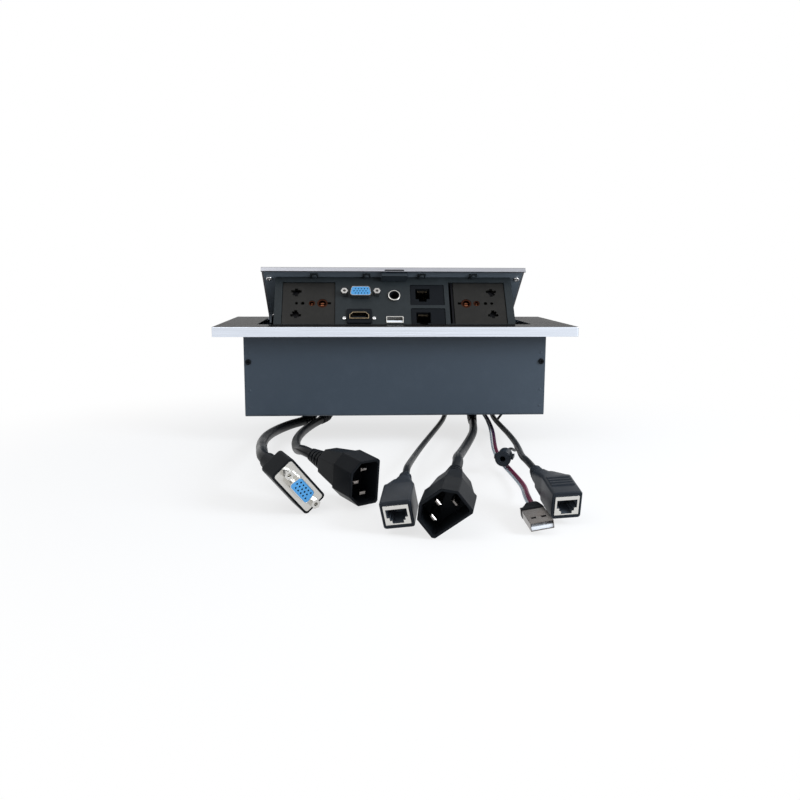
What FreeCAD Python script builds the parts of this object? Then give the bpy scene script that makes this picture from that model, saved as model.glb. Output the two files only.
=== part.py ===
import FreeCAD, Part
import math
import os

# Desk socket box: a flap in a desk frame swings a socket panel up, cords hang out below.
# Millimetres. Origin on the desk surface, at the middle of the frame; +Z is up, -Y is the front.
os.makedirs("parts", exist_ok=True)
V = FreeCAD.Vector

# Desk frame
frame_end_border = 20.0
frame_height = 7.2
frame_plate = 2.0
frame_rim = 2.2
frame_corner = 1.5
frame_edge = 0.6
front_border = 28.0
back_border = 19.8

# Flap and its hinge
lid_reach = 74.4
lid_side_gap = 1.5
lid_front_gap = 0.8
lid_back_gap = 0.8
cover_sheet = 1.0
liner_sheet = 1.2
lip_height = 4.0
lip_slot_length = 15.0
lip_slot_height = 1.3
hinge_z = -3.0
open_angle = 37.0
lid_back_reach = 5.5
liner_side_step = 1.5
ear_round = 6.0
ear_setback = 4.0
lid_screw_inset = 4.0
lid_screw_setback = 11.4
lid_screw_back = 12.0
pan_head = 4.7
pan_height = 1.5
thread = 2.5

# Socket panel and tray
panel_front_gap = 2.0
panel_border = 6.0
panel_side_gap = 9.0
panel_sheet = 1.5
panel_depth = 51.7
tray_sheet = 1.2
tray_back = 20.0
tray_waist = 20.0
tray_top_back = 6.0
tray_flange = 8.0
tab_width = 6.0
tab_reach = 4.5
tab_inset = 30.0
tab_inner_x = 21.5

# Housing under the desk
housing_end_room = 10.5
housing_sheet = 1.5
housing_gap = 1.0
bottom_gap = 1.27
bend_radius = 2.0
flange_reach = 12.0
plate_flange = 8.0
shell_screw_inset = 3.2
shell_screw_drop = 20.0
shell_screw_head = 4.2
frame_screw_inset = 33.0
frame_screw_thread = 3.0
frame_screw_head = 5.5
frame_screw_bite = 1.6
desk_screw_hole = 4.5
desk_screw_y = 30.0
desk_screw_z = -30.0

# Hinge pins, bushes and springs
pin_diameter = 4.0
pin_tail = 3.5
pin_flange = 8.0
pin_flange_thick = 1.5
pin_reach = 1.8
bush_wall = 0.97
bush_flange = 8.0
bush_flange_thick = 1.0
running_fit = 0.03
spring_wire = 1.4
spring_mean = 8.4
spring_turns = 4
spring_leg = 7.0
stop_pad_length = 18.0
stop_pad_inset = 20.0
stop_pad_height = 3.5
stop_gap = 0.15

# Latch
latch_length = 20.0
latch_setback = 2.2
latch_panel_gap = 0.6
latch_height = 4.5
tongue_length = 14.0
tongue_thick = 1.1
tongue_drop = 0.25
tongue_setback = 0.1
tongue_back_wall = 1.8
tongue_fit = 0.1
latch_travel = 2.3

# Power sockets
module_length = 40.0
module_height = 38.0
module_clear = 2.5
module_p = -16.3
window_gap = 0.3
window_extra = 3.5
face_sunk = 0.8
face_thick = 3.0
module_flange = 2.0
module_flange_thick = 1.2
base_inset = 2.0
base_depth = 17.0
shutter_thick = 1.2
shutter_length = 9.0
shutter_height = 27.0
shutter_fit = 0.15
shutter_travel = 5.0
live_offset = 9.6
live_step = 10.0
earth_small_offset = 2.5
earth_large_offset = 10.5
earth_small = 5.0
earth_large = 8.0
earth_wall = 0.8
contact_wall = 0.8

# Display, sound and data sockets on the panel
vga_x = -26.1
vga_p = -8.5
vga_pitch = 25.0
vga_half_wide = 8.3
vga_half_height = 4.15
vga_reach = 5.0
vga_wall = 0.4
vga_flange_length = 30.8
vga_flange_height = 12.5
vga_flange_thick = 0.8
vga_pin_pitch = 2.29
vga_row_pitch = 1.98
vga_pin_hole = 1.1
vga_pin_depth = 4.0
vga_back = 10.0
hex_nut = 4.8
hex_reach = 5.0
hdmi_x = -27.4
hdmi_p = -29.2
hdmi_length = 14.8
hdmi_height = 5.9
hdmi_reach = 2.4
hdmi_wall = 0.45
hdmi_block_length = 19.0
hdmi_block_height = 12.8
hdmi_block_reach = 1.4
hdmi_screw_pitch = 22.7
hdmi_screw_drop = 1.7
hdmi_screw_head = 2.9
hdmi_depth = 14.0
jack_x = -0.3
jack_p = -10.5
jack_nut = 9.5
jack_reach = 2.0
jack_bore = 6.5
jack_thread = 8.0
jack_depth = 15.0
usb_x = -0.3
usb_p = -32.2
usb_length = 13.1
usb_height = 5.9
usb_reach = 0.8
usb_wall = 0.5
usb_depth = 14.0
usb_tongue = 1.9
lan_plate_length = 26.5
lan_plate_height = 19.1
lan_plate_sunk = 0.5
lan_plate_gap = 0.15
lan_flange = 1.0
lan_flange_thick = 1.0
lan_upper = (25.4, -8.9)
lan_lower = (25.4, -30.9)
lan_port_x = 21.8
lan_port_length = 11.0
lan_port_height = 12.0
lan_key_length = 6.0
lan_key_height = 2.4
lan_depth = 15.0
lan_wall = 1.2

# Plugs on the free ends: face centre, turn, tip and roll in degrees, length to the cord
vga_plug = (V(-61.6, -226.0, -67.3), 29.0, 8.0, -49.0, 42.0)
mains_plug_a = (V(-26.2, -216.5, -68.3), 34.0, 6.0, 90.0, 55.0)
mains_plug_b = (V(10.5, -271.0, -68.2), -14.0, 7.0, 38.0, 55.0)
lan_plug_a = (V(-11.0, -263.5, -72.0), -10.0, 14.0, 9.0, 40.0)
lan_plug_b = (V(77.7, -250.5, -72.3), 5.0, 14.0, 2.0, 40.0)
usb_plug = (V(61.7, -265.0, -78.2), 2.0, 4.0, 9.0, 28.0)
sound_plug = (V(63.0, -149.0, -71.5), -20.0, 4.0, 0.0, 15.0)
vga_hood_length = 33.0
vga_hood_height = 15.0
vga_hood_deep = 14.0
mains_face_long = 26.0
mains_face_high = 19.0
mains_chamfer = 6.0
mains_wall = 1.35
mains_cavity = 15.5
mains_collar = 18.0
mains_neck = 17.0
mains_shoulder = 0.7
mains_waist_long = 17.5
mains_waist_high = 13.5
mains_pin_pitch = 14.0
mains_pin_rise = 4.0
mains_pin_long = 4.0
mains_pin_thick = 2.0
mains_pin_reach = 13.0
mains_pin_tip = 0.6
lan_boot_length = 16.0
lan_boot_height = 15.5
lan_boot_deep = 27.0
lan_shell_length = 14.0
lan_shell_height = 13.4
lan_neck_side = -5.0
lan_shell_wall = 0.5
lan_shell_deep = 14.0
usb_shell_length = 12.0
usb_shell_height = 4.5
usb_shell_reach = 18.0
usb_shell_root = 4.0
usb_shell_wall = 0.35
usb_body_length = 10.5
usb_body_height = 5.7
sound_barrel = 9.0
sound_bore = 3.6
sound_bore_deep = 11.0

# Cords
vga_cord_diameter = 7.3
mains_cord_diameter = 6.3
lan_cord_diameter = 4.0
usb_red_diameter = 2.6
usb_white_diameter = 1.4
sound_cord_diameter = 2.0
gland_wall = 1.5
gland_lip = 2.0
gland_lip_thick = 1.3
gland_collar_thick = 1.5

# Sizes that follow
module_x = vga_flange_length / 2 - vga_x + module_clear + module_flange + module_length / 2
panel_half = module_x + module_length / 2 + panel_border
liner_half = panel_half + panel_side_gap
lid_length = 2 * (liner_half + liner_side_step)
opening_half = lid_length / 2 + lid_side_gap
frame_bottom = frame_height - frame_plate
lid_top = frame_height - hinge_z
roll_radius = math.hypot(lid_back_reach, lid_top)
roll_room = lid_back_gap + math.sqrt(roll_radius ** 2 - (frame_bottom - hinge_z) ** 2)
frame_width = front_border + lid_front_gap + lid_reach + roll_room + back_border
opening_front = -frame_width / 2 + front_border
hinge_y = opening_front + lid_front_gap + lid_reach
opening_back = hinge_y + roll_room
liner_top = lid_top - cover_sheet
liner_bottom = liner_top - liner_sheet
open_slope = math.radians(open_angle)
panel_reach = ((lid_reach + lid_front_gap - panel_front_gap) * math.cos(open_slope)
               + lid_top * math.sin(open_slope))
panel_bottom = -panel_depth
panel_sweep = math.hypot(panel_reach, panel_depth)
tray_sweep = math.hypot(tray_back, panel_depth)
front_inner = hinge_y - panel_sweep - housing_gap
back_inner = hinge_y + roll_radius + housing_gap
floor_inner = hinge_z - tray_sweep - bottom_gap
front_outer = front_inner - housing_sheet
back_outer = back_inner + housing_sheet
floor_outer = floor_inner - housing_sheet
flange_bottom = frame_bottom - housing_sheet
housing_half = lid_length / 2 + housing_end_room
housing_length = 2 * housing_half
frame_length = housing_length + 2 * frame_end_border
end_inner = housing_half - housing_sheet
ear_outer = liner_half
ear_inner = ear_outer - liner_sheet
tab_x = (tab_inset - panel_half, -tab_inner_x, tab_inner_x, panel_half - tab_inset)
frame_screw_x = housing_half - frame_screw_inset
lid_screw_x = liner_half - lid_screw_inset
lid_screw_front = lid_reach - lid_screw_setback
pin_inner_end = ear_inner - pin_reach
stop_pad_x = panel_half - stop_pad_inset
latch_front = lid_reach - latch_setback
latch_back = panel_reach + latch_panel_gap
tongue_top = liner_bottom - tongue_drop
tongue_front = lid_reach - tongue_setback
tongue_back = latch_back + tongue_back_wall


def box(x0, x1, y0, y1, z0, z1):
    return Part.makeBox(x1 - x0, y1 - y0, z1 - z0, V(x0, y0, z0))


def rod(radius, start, direction, length):
    return Part.makeCylinder(radius, length, start, direction)


def ring(outer, inner, start, direction, length):
    return rod(outer, start, direction, length).cut(rod(inner, start, direction, length))


def prism(points, height, lift=0.0):
    corners = [V(x, y, lift) for x, y in points]
    return Part.Face(Part.makePolygon(corners + corners[:1])).extrude(V(0, 0, height))


def side_prism(points, x0, x1):
    corners = [V(x0, y, z) for y, z in points]
    return Part.Face(Part.makePolygon(corners + corners[:1])).extrude(V(x1 - x0, 0, 0))


def join(shapes):
    return shapes[0].multiFuse(shapes[1:]).removeSplitter()


def upright(shape):
    return [e for e in shape.Edges if len(e.Vertexes) == 2
            and abs(e.tangentAt(e.FirstParameter).z) > 0.999]


def rounded(shape, radius):
    return shape.makeFillet(radius, upright(shape))


def block(length, height, back, front, corner=0.0):
    body = box(-length / 2, length / 2, -height / 2, height / 2, back, front)
    return rounded(body, corner) if corner else body


def seat(origin, u, v, n):
    grid = FreeCAD.Matrix(u.x, v.x, n.x, origin.x, u.y, v.y, n.y, origin.y,
                          u.z, v.z, n.z, origin.z, 0, 0, 0, 1)
    return FreeCAD.Placement(grid)


def put(shape, place):
    moved = shape.copy()
    moved.Placement = place.multiply(moved.Placement)
    return moved


def on_panel(shape, x, p):
    return put(shape, seat(V(x, -panel_reach, p), V(1, 0, 0), V(0, 0, 1), V(0, -1, 0)))


def plug_place(pose):
    centre, turn, tip, roll, length = pose
    a = math.radians(turn)
    b = math.radians(tip)
    c = math.radians(roll)
    n = V(math.sin(a) * math.cos(b), -math.cos(a) * math.cos(b), -math.sin(b))
    u0 = V(math.cos(a), math.sin(a), 0)
    v0 = n.cross(u0)
    u = u0 * math.cos(c) + v0 * math.sin(c)
    v = v0 * math.cos(c) - u0 * math.sin(c)
    return seat(centre, u, v, n)


swing = FreeCAD.Placement(V(0, hinge_y, hinge_z), FreeCAD.Rotation(V(1, 0, 0), -open_angle))
kept = []


def save(name, shapes, carried=False):
    solids = []
    for shape in shapes if isinstance(shapes, list) else [shapes]:
        placed = put(shape, swing) if carried else shape
        solids.extend(placed.Solids)
    bad = [s for s in solids if not s.isValid() or s.Volume <= 0]
    if bad or not solids:
        print("CHECK", name, "has", len(bad), "bad of", len(solids))
    whole = solids[0] if len(solids) == 1 else Part.makeCompound(solids)
    whole.exportStep("parts/" + name + ".step")
    kept.append(name)


# Frame on the desk
def make_frame():
    half = frame_length / 2
    deep = frame_width / 2
    body = rounded(box(-half, half, -deep, deep, 0, frame_height), frame_corner)
    top = [e for e in body.Edges if abs(e.BoundBox.ZMin - frame_height) < 1e-6]
    body = body.makeFillet(frame_edge, top)
    body = body.cut(box(-half + frame_rim, half - frame_rim, -deep + frame_rim, deep - frame_rim,
                        -1, frame_bottom))
    body = body.cut(box(-opening_half, opening_half, opening_front, opening_back, -1, frame_height + 1))
    for x, y in frame_screw_spots:
        body = body.cut(rod(frame_screw_thread / 2, V(x, y, frame_bottom - 1), V(0, 0, 1),
                            frame_screw_bite + 1))
    return body


frame_screw_front = (front_outer - flange_reach + front_outer) / 2
frame_screw_back = (back_outer + flange_reach + back_outer) / 2
frame_screw_spots = [(x, y) for y in (frame_screw_front, frame_screw_back)
                     for x in (-frame_screw_x, 0.0, frame_screw_x)]
save("top_frame", make_frame())


# Cord routes: chosen by hand from the nose of each gland to the back of each plug
def plug_back(pose, along=0.0, side=0.0):
    return plug_place(pose).multVec(V(side, 0, -pose[4] - along))


nose_z = -64.2
vga_route = [V(-66, 25, nose_z), V(-66, 25, -69), V(-66.8, 22.7, -73.2), V(-68.2, 18.8, -75.6),
             V(-71.4, 10, -76), V(-77, -8, -76), V(-85, -30, -76), V(-90.5, -53, -75),
             V(-93, -77, -72.5), V(-92.8, -101, -69), V(-92.5, -124, -65.6), V(-92, -146, -62.6),
             V(-90.8, -166.7, -60.2), plug_back(vga_plug, 12), plug_back(vga_plug)]
mains_route_a = [V(-52, 27, nose_z), V(-52, 27, -68.4), V(-52.9, 25.1, -72), V(-54.5, 21.8, -74.2),
                 V(-58, 14.3, -75), V(-64, -1.5, -75.5), V(-70, -27, -75.5), V(-74, -52, -75.2),
                 V(-75, -76, -74), V(-74, -99, -72), V(-72.5, -121, -69), V(-70.5, -142, -65.5),
                 plug_back(mains_plug_a, 16), plug_back(mains_plug_a)]
mains_route_b = [V(67, 16, nose_z), V(67, 16, -68.4), V(66.9, 13.9, -72), V(66.6, 10.3, -74.1),
                 V(65.8, 2, -75), V(63.8, -14, -75.5), V(59, -40, -75.7), V(52, -66, -75.7),
                 V(45.2, -94, -75), V(39.5, -122, -72.6), V(34.5, -149, -68.8), V(30.5, -174, -64),
                 plug_back(mains_plug_b, 16), plug_back(mains_plug_b)]
lan_route_a = [V(46, 26, nose_z), V(46, 26, -67.2), V(45.5, 24.6, -69.9), V(44.7, 22.2, -71.5),
               V(42.9, 16.4, -72.5), V(39.3, 5, -74), V(32.5, -17, -75.5), V(22.5, -53, -76.5),
               V(14, -93, -76), V(6.5, -132, -73), V(1, -167, -67), V(-1.6, -193, -60.7),
               plug_back(lan_plug_a, 15), plug_back(lan_plug_a)]
lan_route_b = [V(84, 17, nose_z), V(84, 17, -67.2), V(84.1, 15.5, -69.8), V(84.3, 12.9, -71.3),
               V(84.8, 7, -72.2), V(85.4, -5, -72.8), V(86.3, -28, -73), V(86, -60, -72.5),
               V(83.5, -96, -71.8), V(78.6, -130, -69.4), V(73, -165, -64.5),
               plug_back(lan_plug_b, 15, lan_neck_side), plug_back(lan_plug_b, 0, lan_neck_side)]
usb_red_route = [V(76.3, 27, nose_z), V(76.3, 27, -66.3), V(76.3, 26, -68.2), V(76.3, 24.3, -69.4),
                 V(76.3, 20.1, -70.6), V(76.4, 11.7, -72.4), V(76.2, -5, -75), V(74.6, -34, -77),
                 V(72.2, -64, -78.2), V(70.4, -96, -78.8), V(69.6, -128, -79), V(68.8, -159, -79),
                 V(66.8, -190, -78.2), plug_back(usb_plug, 14, 3), plug_back(usb_plug, 0, 3)]
usb_white_route = [V(73.7, 27, nose_z), V(73.7, 27, -66.0), V(73.7, 26.2, -67.6), V(73.7, 24.7, -68.5),
                   V(73.6, 21.2, -69.2), V(73.4, 14.0, -70.4), V(72.6, -2, -73.3), V(70.8, -32, -76.3),
                   V(68.9, -63, -78), V(67.4, -96, -79.2), V(66, -128, -79.6), V(64.4, -160, -79.4),
                   V(61.8, -191, -78.4), plug_back(usb_plug, 14, -2.6), plug_back(usb_plug, 0, -2.6)]
sound_route = [V(93, 8, nose_z), V(93, 8, -66), V(92.9, 7.2, -67.6), V(92.7, 5.7, -68.6),
               V(92.1, 2.4, -69.6), V(91, -4, -72), V(89.5, -16, -75.5), V(88.3, -38, -78.2),
               V(87, -62, -78.8), V(84.6, -86, -78.2), V(80, -107, -76),
               plug_back(sound_plug, 12), plug_back(sound_plug)]
routes = {"vga_cord": (vga_route, vga_cord_diameter),
          "mains_cord_left": (mains_route_a, mains_cord_diameter),
          "mains_cord_right": (mains_route_b, mains_cord_diameter),
          "lan_cord_left": (lan_route_a, lan_cord_diameter),
          "lan_cord_right": (lan_route_b, lan_cord_diameter),
          "usb_cord_red": (usb_red_route, usb_red_diameter),
          "usb_cord_white": (usb_white_route, usb_white_diameter),
          "sound_cord": (sound_route, sound_cord_diameter)}


def tube(name, points, diameter):
    runs = [points[i + 1] - points[i] for i in range(len(points) - 1)]
    lengths = [r.Length for r in runs]
    ways = [V(r).normalize() for r in runs]
    edges = []
    radii = []
    last = points[0]
    section = math.pi * diameter ** 2 / 4
    for i in range(len(runs) - 1):
        turn = ways[i].getAngle(ways[i + 1])
        tangent = 0.45 * min(lengths[i], lengths[i + 1])
        radius = tangent / math.tan(turn / 2)
        radii.append(radius / diameter)
        corner = points[i + 1]
        start = corner - ways[i] * tangent
        end = corner + ways[i + 1] * tangent
        inward = (ways[i + 1] - ways[i]).normalize()
        middle = corner + inward * (radius / math.cos(turn / 2) - radius)
        edges.append(Part.LineSegment(last, start).toShape())
        edges.append(Part.Arc(start, middle, end).toShape())
        last = end
    edges.append(Part.LineSegment(last, points[-1]).toShape())
    path = Part.Wire(edges)
    profile = Part.Wire(Part.makeCircle(diameter / 2, points[0], ways[0]))
    solid = path.makePipeShell([profile], True, False)
    print(name, "length %.1f" % path.Length, "volume share %.4f" % (solid.Volume / path.Length / section),
          "longest run ratio %.2f" % max(max(a, b) / min(a, b) for a, b in zip(lengths, lengths[1:])),
          "radii in diameters", [round(r, 1) for r in radii])
    return solid


for name, (points, diameter) in routes.items():
    save(name, tube(name, points, diameter))

gland_spots = [(vga_route[0], vga_cord_diameter / 2), (mains_route_a[0], mains_cord_diameter / 2),
               (mains_route_b[0], mains_cord_diameter / 2), (lan_route_a[0], lan_cord_diameter / 2),
               (lan_route_b[0], lan_cord_diameter / 2), (sound_route[0], sound_cord_diameter / 2),
               ((usb_red_route[0] + usb_white_route[0]) * 0.5,
                (usb_red_route[0] - usb_white_route[0]).Length / 2
                + max(usb_red_diameter, usb_white_diameter) / 2)]


def make_gland(spot, radius):
    x, y, z = spot
    body = rod(radius + gland_wall, V(x, y, floor_outer), V(0, 0, 1), housing_sheet)
    lip = rod(radius + gland_wall + gland_lip, V(x, y, floor_outer - gland_lip_thick), V(0, 0, 1),
              gland_lip_thick)
    collar = Part.makeCone(radius + gland_wall + gland_lip / 2, radius + gland_wall,
                           gland_collar_thick, V(x, y, floor_inner), V(0, 0, 1))
    nose = Part.makeCone(radius + gland_wall / 2, radius + gland_wall,
                         floor_outer - gland_lip_thick - z, V(x, y, z), V(0, 0, 1))
    return join([body, lip, collar, nose])


save("cord_glands", [make_gland(s, r) for s, r in gland_spots])

# Housing under the desk
shell_screw_x = housing_half - shell_screw_inset
shell_screw_spots = [(x, side) for side in (-1, 1) for x in (-shell_screw_x, shell_screw_x)]


def make_shell():
    outer = [(front_outer - flange_reach, frame_bottom), (front_outer - flange_reach, flange_bottom),
             (front_outer, flange_bottom), (front_outer, floor_outer), (back_outer, floor_outer),
             (back_outer, flange_bottom), (back_outer + flange_reach, flange_bottom),
             (back_outer + flange_reach, frame_bottom), (back_inner, frame_bottom),
             (back_inner, floor_inner), (front_inner, floor_inner), (front_inner, frame_bottom)]
    body = side_prism(outer, -housing_half, housing_half)
    low = [e for e in body.Edges if e.Length > housing_length - 1
           and abs(e.CenterOfMass.z - floor_outer) < 1e-6]
    body = body.makeFillet(bend_radius, low)
    for x, side in shell_screw_spots:
        y = front_outer - 1 if side < 0 else back_inner - 1
        body = body.cut(rod(thread / 2, V(x, y, -shell_screw_drop), V(0, 1, 0), housing_sheet + 2))
    for x, y in frame_screw_spots:
        body = body.cut(rod(frame_screw_thread / 2, V(x, y, flange_bottom - 1), V(0, 0, 1),
                            housing_sheet + 2))
    for spot, radius in gland_spots:
        body = body.cut(rod(radius + gland_wall, V(spot.x, spot.y, floor_outer - 1), V(0, 0, 1),
                            housing_sheet + 2))
    return body


save("housing_shell", make_shell())


def make_end(side):
    wall = box(end_inner, housing_half, front_inner, back_inner, floor_inner, frame_bottom)
    front = box(end_inner - plate_flange, end_inner, front_inner, front_inner + housing_sheet,
                floor_inner, flange_bottom - housing_sheet)
    back = box(end_inner - plate_flange, end_inner, back_inner - housing_sheet, back_inner,
               floor_inner, flange_bottom - housing_sheet)
    low = box(end_inner - plate_flange, end_inner, front_inner + housing_sheet,
              back_inner - housing_sheet, floor_inner, floor_inner + housing_sheet)
    top = box(housing_half, housing_half + flange_reach, front_inner, back_inner,
              flange_bottom, frame_bottom)
    body = join([wall, front, back, low, top])
    for x, way in shell_screw_spots:
        y = front_inner - 1 if way < 0 else back_inner - housing_sheet - 1
        body = body.cut(rod(thread / 2, V(abs(x), y, -shell_screw_drop), V(0, 1, 0), housing_sheet + 2))
    for y in (-desk_screw_y, desk_screw_y):
        body = body.cut(rod(desk_screw_hole / 2, V(end_inner - 1, y, desk_screw_z), V(1, 0, 0),
                            housing_sheet + 2))
    body = body.cut(rod(pin_tail / 2, V(end_inner - 1, hinge_y, hinge_z), V(1, 0, 0), housing_sheet + 2))
    return body if side > 0 else body.mirror(V(0, 0, 0), V(1, 0, 0))


save("end_plate_left", make_end(-1))
save("end_plate_right", make_end(1))


def pan_screw(head, height, shank, depth):
    top = rod(head / 2, V(0, 0, 0), V(0, 0, 1), height)
    rim = [e for e in top.Edges if abs(e.BoundBox.ZMin - height) < 1e-6 and len(e.Vertexes) == 1]
    top = top.makeFillet(height * 0.45, rim)
    cross = [box(-head * 0.28, head * 0.28, -0.3, 0.3, height * 0.45, height + 1),
             box(-0.3, 0.3, -head * 0.28, head * 0.28, height * 0.45, height + 1)]
    return join([top.cut(cross[0]).cut(cross[1]), rod(shank / 2, V(0, 0, -depth), V(0, 0, 1), depth)])


screws = []
for x, side in shell_screw_spots:
    wall = front_outer if side < 0 else back_outer
    place = seat(V(x, wall, -shell_screw_drop), V(1, 0, 0), V(0, 0, -side), V(0, side, 0))
    screws.append(put(pan_screw(shell_screw_head, pan_height, thread, 2 * housing_sheet + 1), place))
save("shell_screws", screws)

screws = []
for x, y in frame_screw_spots:
    place = seat(V(x, y, flange_bottom), V(1, 0, 0), V(0, -1, 0), V(0, 0, -1))
    screws.append(put(pan_screw(frame_screw_head, pan_height, frame_screw_thread,
                                housing_sheet + frame_screw_bite), place))
save("frame_screws", screws)


# Hinge
def both(make):
    right = make()
    return [right.mirror(V(0, 0, 0), V(1, 0, 0)), right]


def make_pin():
    start = V(pin_inner_end, hinge_y, hinge_z)
    body = rod(pin_diameter / 2, start, V(1, 0, 0), end_inner - pin_inner_end)
    flange = rod(pin_flange / 2, V(end_inner - pin_flange_thick, hinge_y, hinge_z), V(1, 0, 0),
                 pin_flange_thick)
    tail = rod(pin_tail / 2, V(end_inner, hinge_y, hinge_z), V(1, 0, 0), housing_sheet)
    head = Part.makeCone(pin_tail * 0.8, pin_tail / 2, 0.8, V(housing_half, hinge_y, hinge_z), V(1, 0, 0))
    return join([body, flange, tail, head])


bush_bore = pin_diameter / 2 + running_fit
bush_outer = bush_bore + bush_wall


def make_bush():
    tube_part = rod(bush_outer, V(ear_inner, 0, 0), V(1, 0, 0), liner_sheet)
    flange = rod(bush_flange / 2, V(ear_inner - bush_flange_thick, 0, 0), V(1, 0, 0), bush_flange_thick)
    bore = rod(bush_bore, V(ear_inner - 2, 0, 0), V(1, 0, 0), liner_sheet + 4)
    return join([tube_part, flange]).cut(bore)


def make_spring():
    start = ear_outer + 1.0
    end = end_inner - pin_flange_thick - 0.4
    pitch = (end - start - spring_wire) / spring_turns
    radius = spring_mean / 2
    coil = Part.makeHelix(pitch, pitch * spring_turns, radius)
    first = V(radius, 0, 0)
    way = V(0, radius, pitch / (2 * math.pi)).normalize()
    leg_end = first - way * spring_leg
    leg = Part.LineSegment(leg_end, first).toShape()
    path = Part.Wire([leg] + coil.Edges)
    profile = Part.Wire(Part.makeCircle(spring_wire / 2, leg_end, way))
    body = path.makePipeShell([profile], True, True)
    lift = V(start + spring_wire / 2, hinge_y, hinge_z)
    return put(body, seat(lift, V(0, 1, 0), V(0, 0, 1), V(1, 0, 0)))


save("hinge_pins", both(make_pin))
save("hinge_bushes", both(make_bush), True)
save("lid_springs", both(make_spring))


# Stops: pads on the front wall that the panel's lower edge rises against
def make_stop():
    a = math.radians(open_angle)
    edge = hinge_y - panel_reach * math.cos(a) + panel_bottom * math.sin(a)
    level = hinge_z + panel_reach * math.sin(a) + panel_bottom * math.cos(a)
    # the panel's face rises from its lower edge along this direction
    rise = V(0, math.sin(a), math.cos(a))
    out = V(0, -math.cos(a), math.sin(a))
    base = V(0, edge, level) + out * stop_gap
    high = base + rise * stop_pad_height
    points = [(front_inner, base.z), (base.y, base.z), (high.y, high.z), (front_inner, high.z)]
    return side_prism(points, stop_pad_x - stop_pad_length / 2, stop_pad_x + stop_pad_length / 2)


save("stop_pads", both(make_stop))


# Flap: cover, liner, screws
def make_cover():
    half = lid_length / 2
    top = box(-half, half, -lid_reach, lid_back_reach, liner_top, lid_top)
    lip = box(-half, half, -lid_reach, -lid_reach + cover_sheet, lid_top - lip_height, liner_top)
    curl = ring(roll_radius, roll_radius - cover_sheet, V(-half, 0, 0), V(1, 0, 0), lid_length)
    inner_start = math.sqrt((roll_radius - cover_sheet) ** 2 - liner_top ** 2)
    curl = curl.common(box(-half, half, inner_start, roll_radius, 0, lid_top))
    body = join([top, lip, curl])
    corner = [e for e in body.Edges if e.Length > lid_length - 1
              and abs(e.CenterOfMass.y + lid_reach) < 1e-6 and abs(e.CenterOfMass.z - lid_top) < 1e-6]
    body = body.makeFillet(cover_sheet * 0.6, corner)
    slot_top = tongue_top + (lip_slot_height - tongue_thick) / 2
    body = body.cut(box(-lip_slot_length / 2, lip_slot_length / 2, -lid_reach - 1,
                        -lid_reach + cover_sheet + 1, slot_top - lip_slot_height, slot_top))
    for x, a in lid_screw_spots:
        body = body.cut(rod(thread / 2, V(x, -a, liner_top - 1), V(0, 0, 1), 1 + cover_sheet * 0.6))
    return body


lid_screw_spots = [(x, a) for x in (-lid_screw_x, lid_screw_x) for a in (lid_screw_front, lid_screw_back)]


def make_liner():
    sheet = box(-liner_half, liner_half, -lid_reach + cover_sheet + 0.2, ear_setback,
                liner_bottom, liner_top)
    pieces = [sheet]
    for side in (-1, 1):
        x0 = ear_inner if side > 0 else -ear_outer
        x1 = x0 + liner_sheet
        pieces.append(box(x0, x1, -ear_round * 2, ear_setback, 0, liner_bottom))
        pieces.append(rod(ear_round, V(x0, 0, 0), V(1, 0, 0), liner_sheet))
    body = join(pieces)
    for x in (ear_inner - 1, -ear_outer - 1):
        body = body.cut(rod(bush_outer, V(x, 0, 0), V(1, 0, 0), liner_sheet + 2))
    for x, a in lid_screw_spots:
        body = body.cut(rod(thread / 2, V(x, -a, liner_bottom - 1), V(0, 0, 1), liner_sheet + 2))
    for x in tab_x:
        body = body.cut(rod(thread / 2, V(x, -panel_reach - tab_reach / 2, liner_bottom - 1), V(0, 0, 1),
                            liner_sheet + 2))
    return body


save("lid_cover", make_cover(), True)
save("lid_liner", make_liner(), True)
screws = []
for x, a in lid_screw_spots:
    place = seat(V(x, -a, liner_bottom), V(1, 0, 0), V(0, -1, 0), V(0, 0, -1))
    screws.append(put(pan_screw(pan_head, pan_height, thread, liner_sheet + cover_sheet * 0.6), place))
save("lid_screws", screws, True)
rivets = []
for x in tab_x:
    foot = V(x, -panel_reach - tab_reach / 2, liner_bottom - panel_sheet)
    rivets.append(join([rod(thread / 2, foot, V(0, 0, 1), panel_sheet + liner_sheet),
                        Part.makeCone(thread * 0.55, thread * 0.85, 0.8, foot - V(0, 0, 0.8), V(0, 0, 1))]))
save("panel_rivets", rivets, True)


# Sections shared by the sockets and the plugs
def d_section(half_wide, half_height, back, front, corner=2.0):
    narrow = half_wide - 2 * half_height * math.tan(math.radians(10))
    points = [(-half_wide, -half_height), (half_wide, -half_height), (narrow, half_height),
              (-narrow, half_height)]
    return rounded_any(prism(points, front - back, back), corner)


def rounded_any(shape, radius):
    return shape.makeFillet(radius, upright(shape))


def lan_hole(length, height, key_length, key_height, back, front):
    main = box(-length / 2, length / 2, -height / 2 + key_height, height / 2, back, front)
    key = box(-key_length / 2, key_length / 2, -height / 2, -height / 2 + key_height, back, front)
    return join([main, key])


def vga_metal(base):
    flange = block(vga_flange_length, vga_flange_height, base - vga_flange_thick, base, 1.5)
    nose = d_section(vga_half_wide, vga_half_height, base, vga_reach)
    body = join([flange, nose])
    body = body.cut(d_section(vga_half_wide - vga_wall, vga_half_height - vga_wall,
                              base - vga_flange_thick - 1, vga_reach + 1, 1.7))
    for x in (-vga_pitch / 2, vga_pitch / 2):
        body = body.cut(rod(thread / 2, V(x, 0, base - 3), V(0, 0, 1), 6))
    return body


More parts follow.
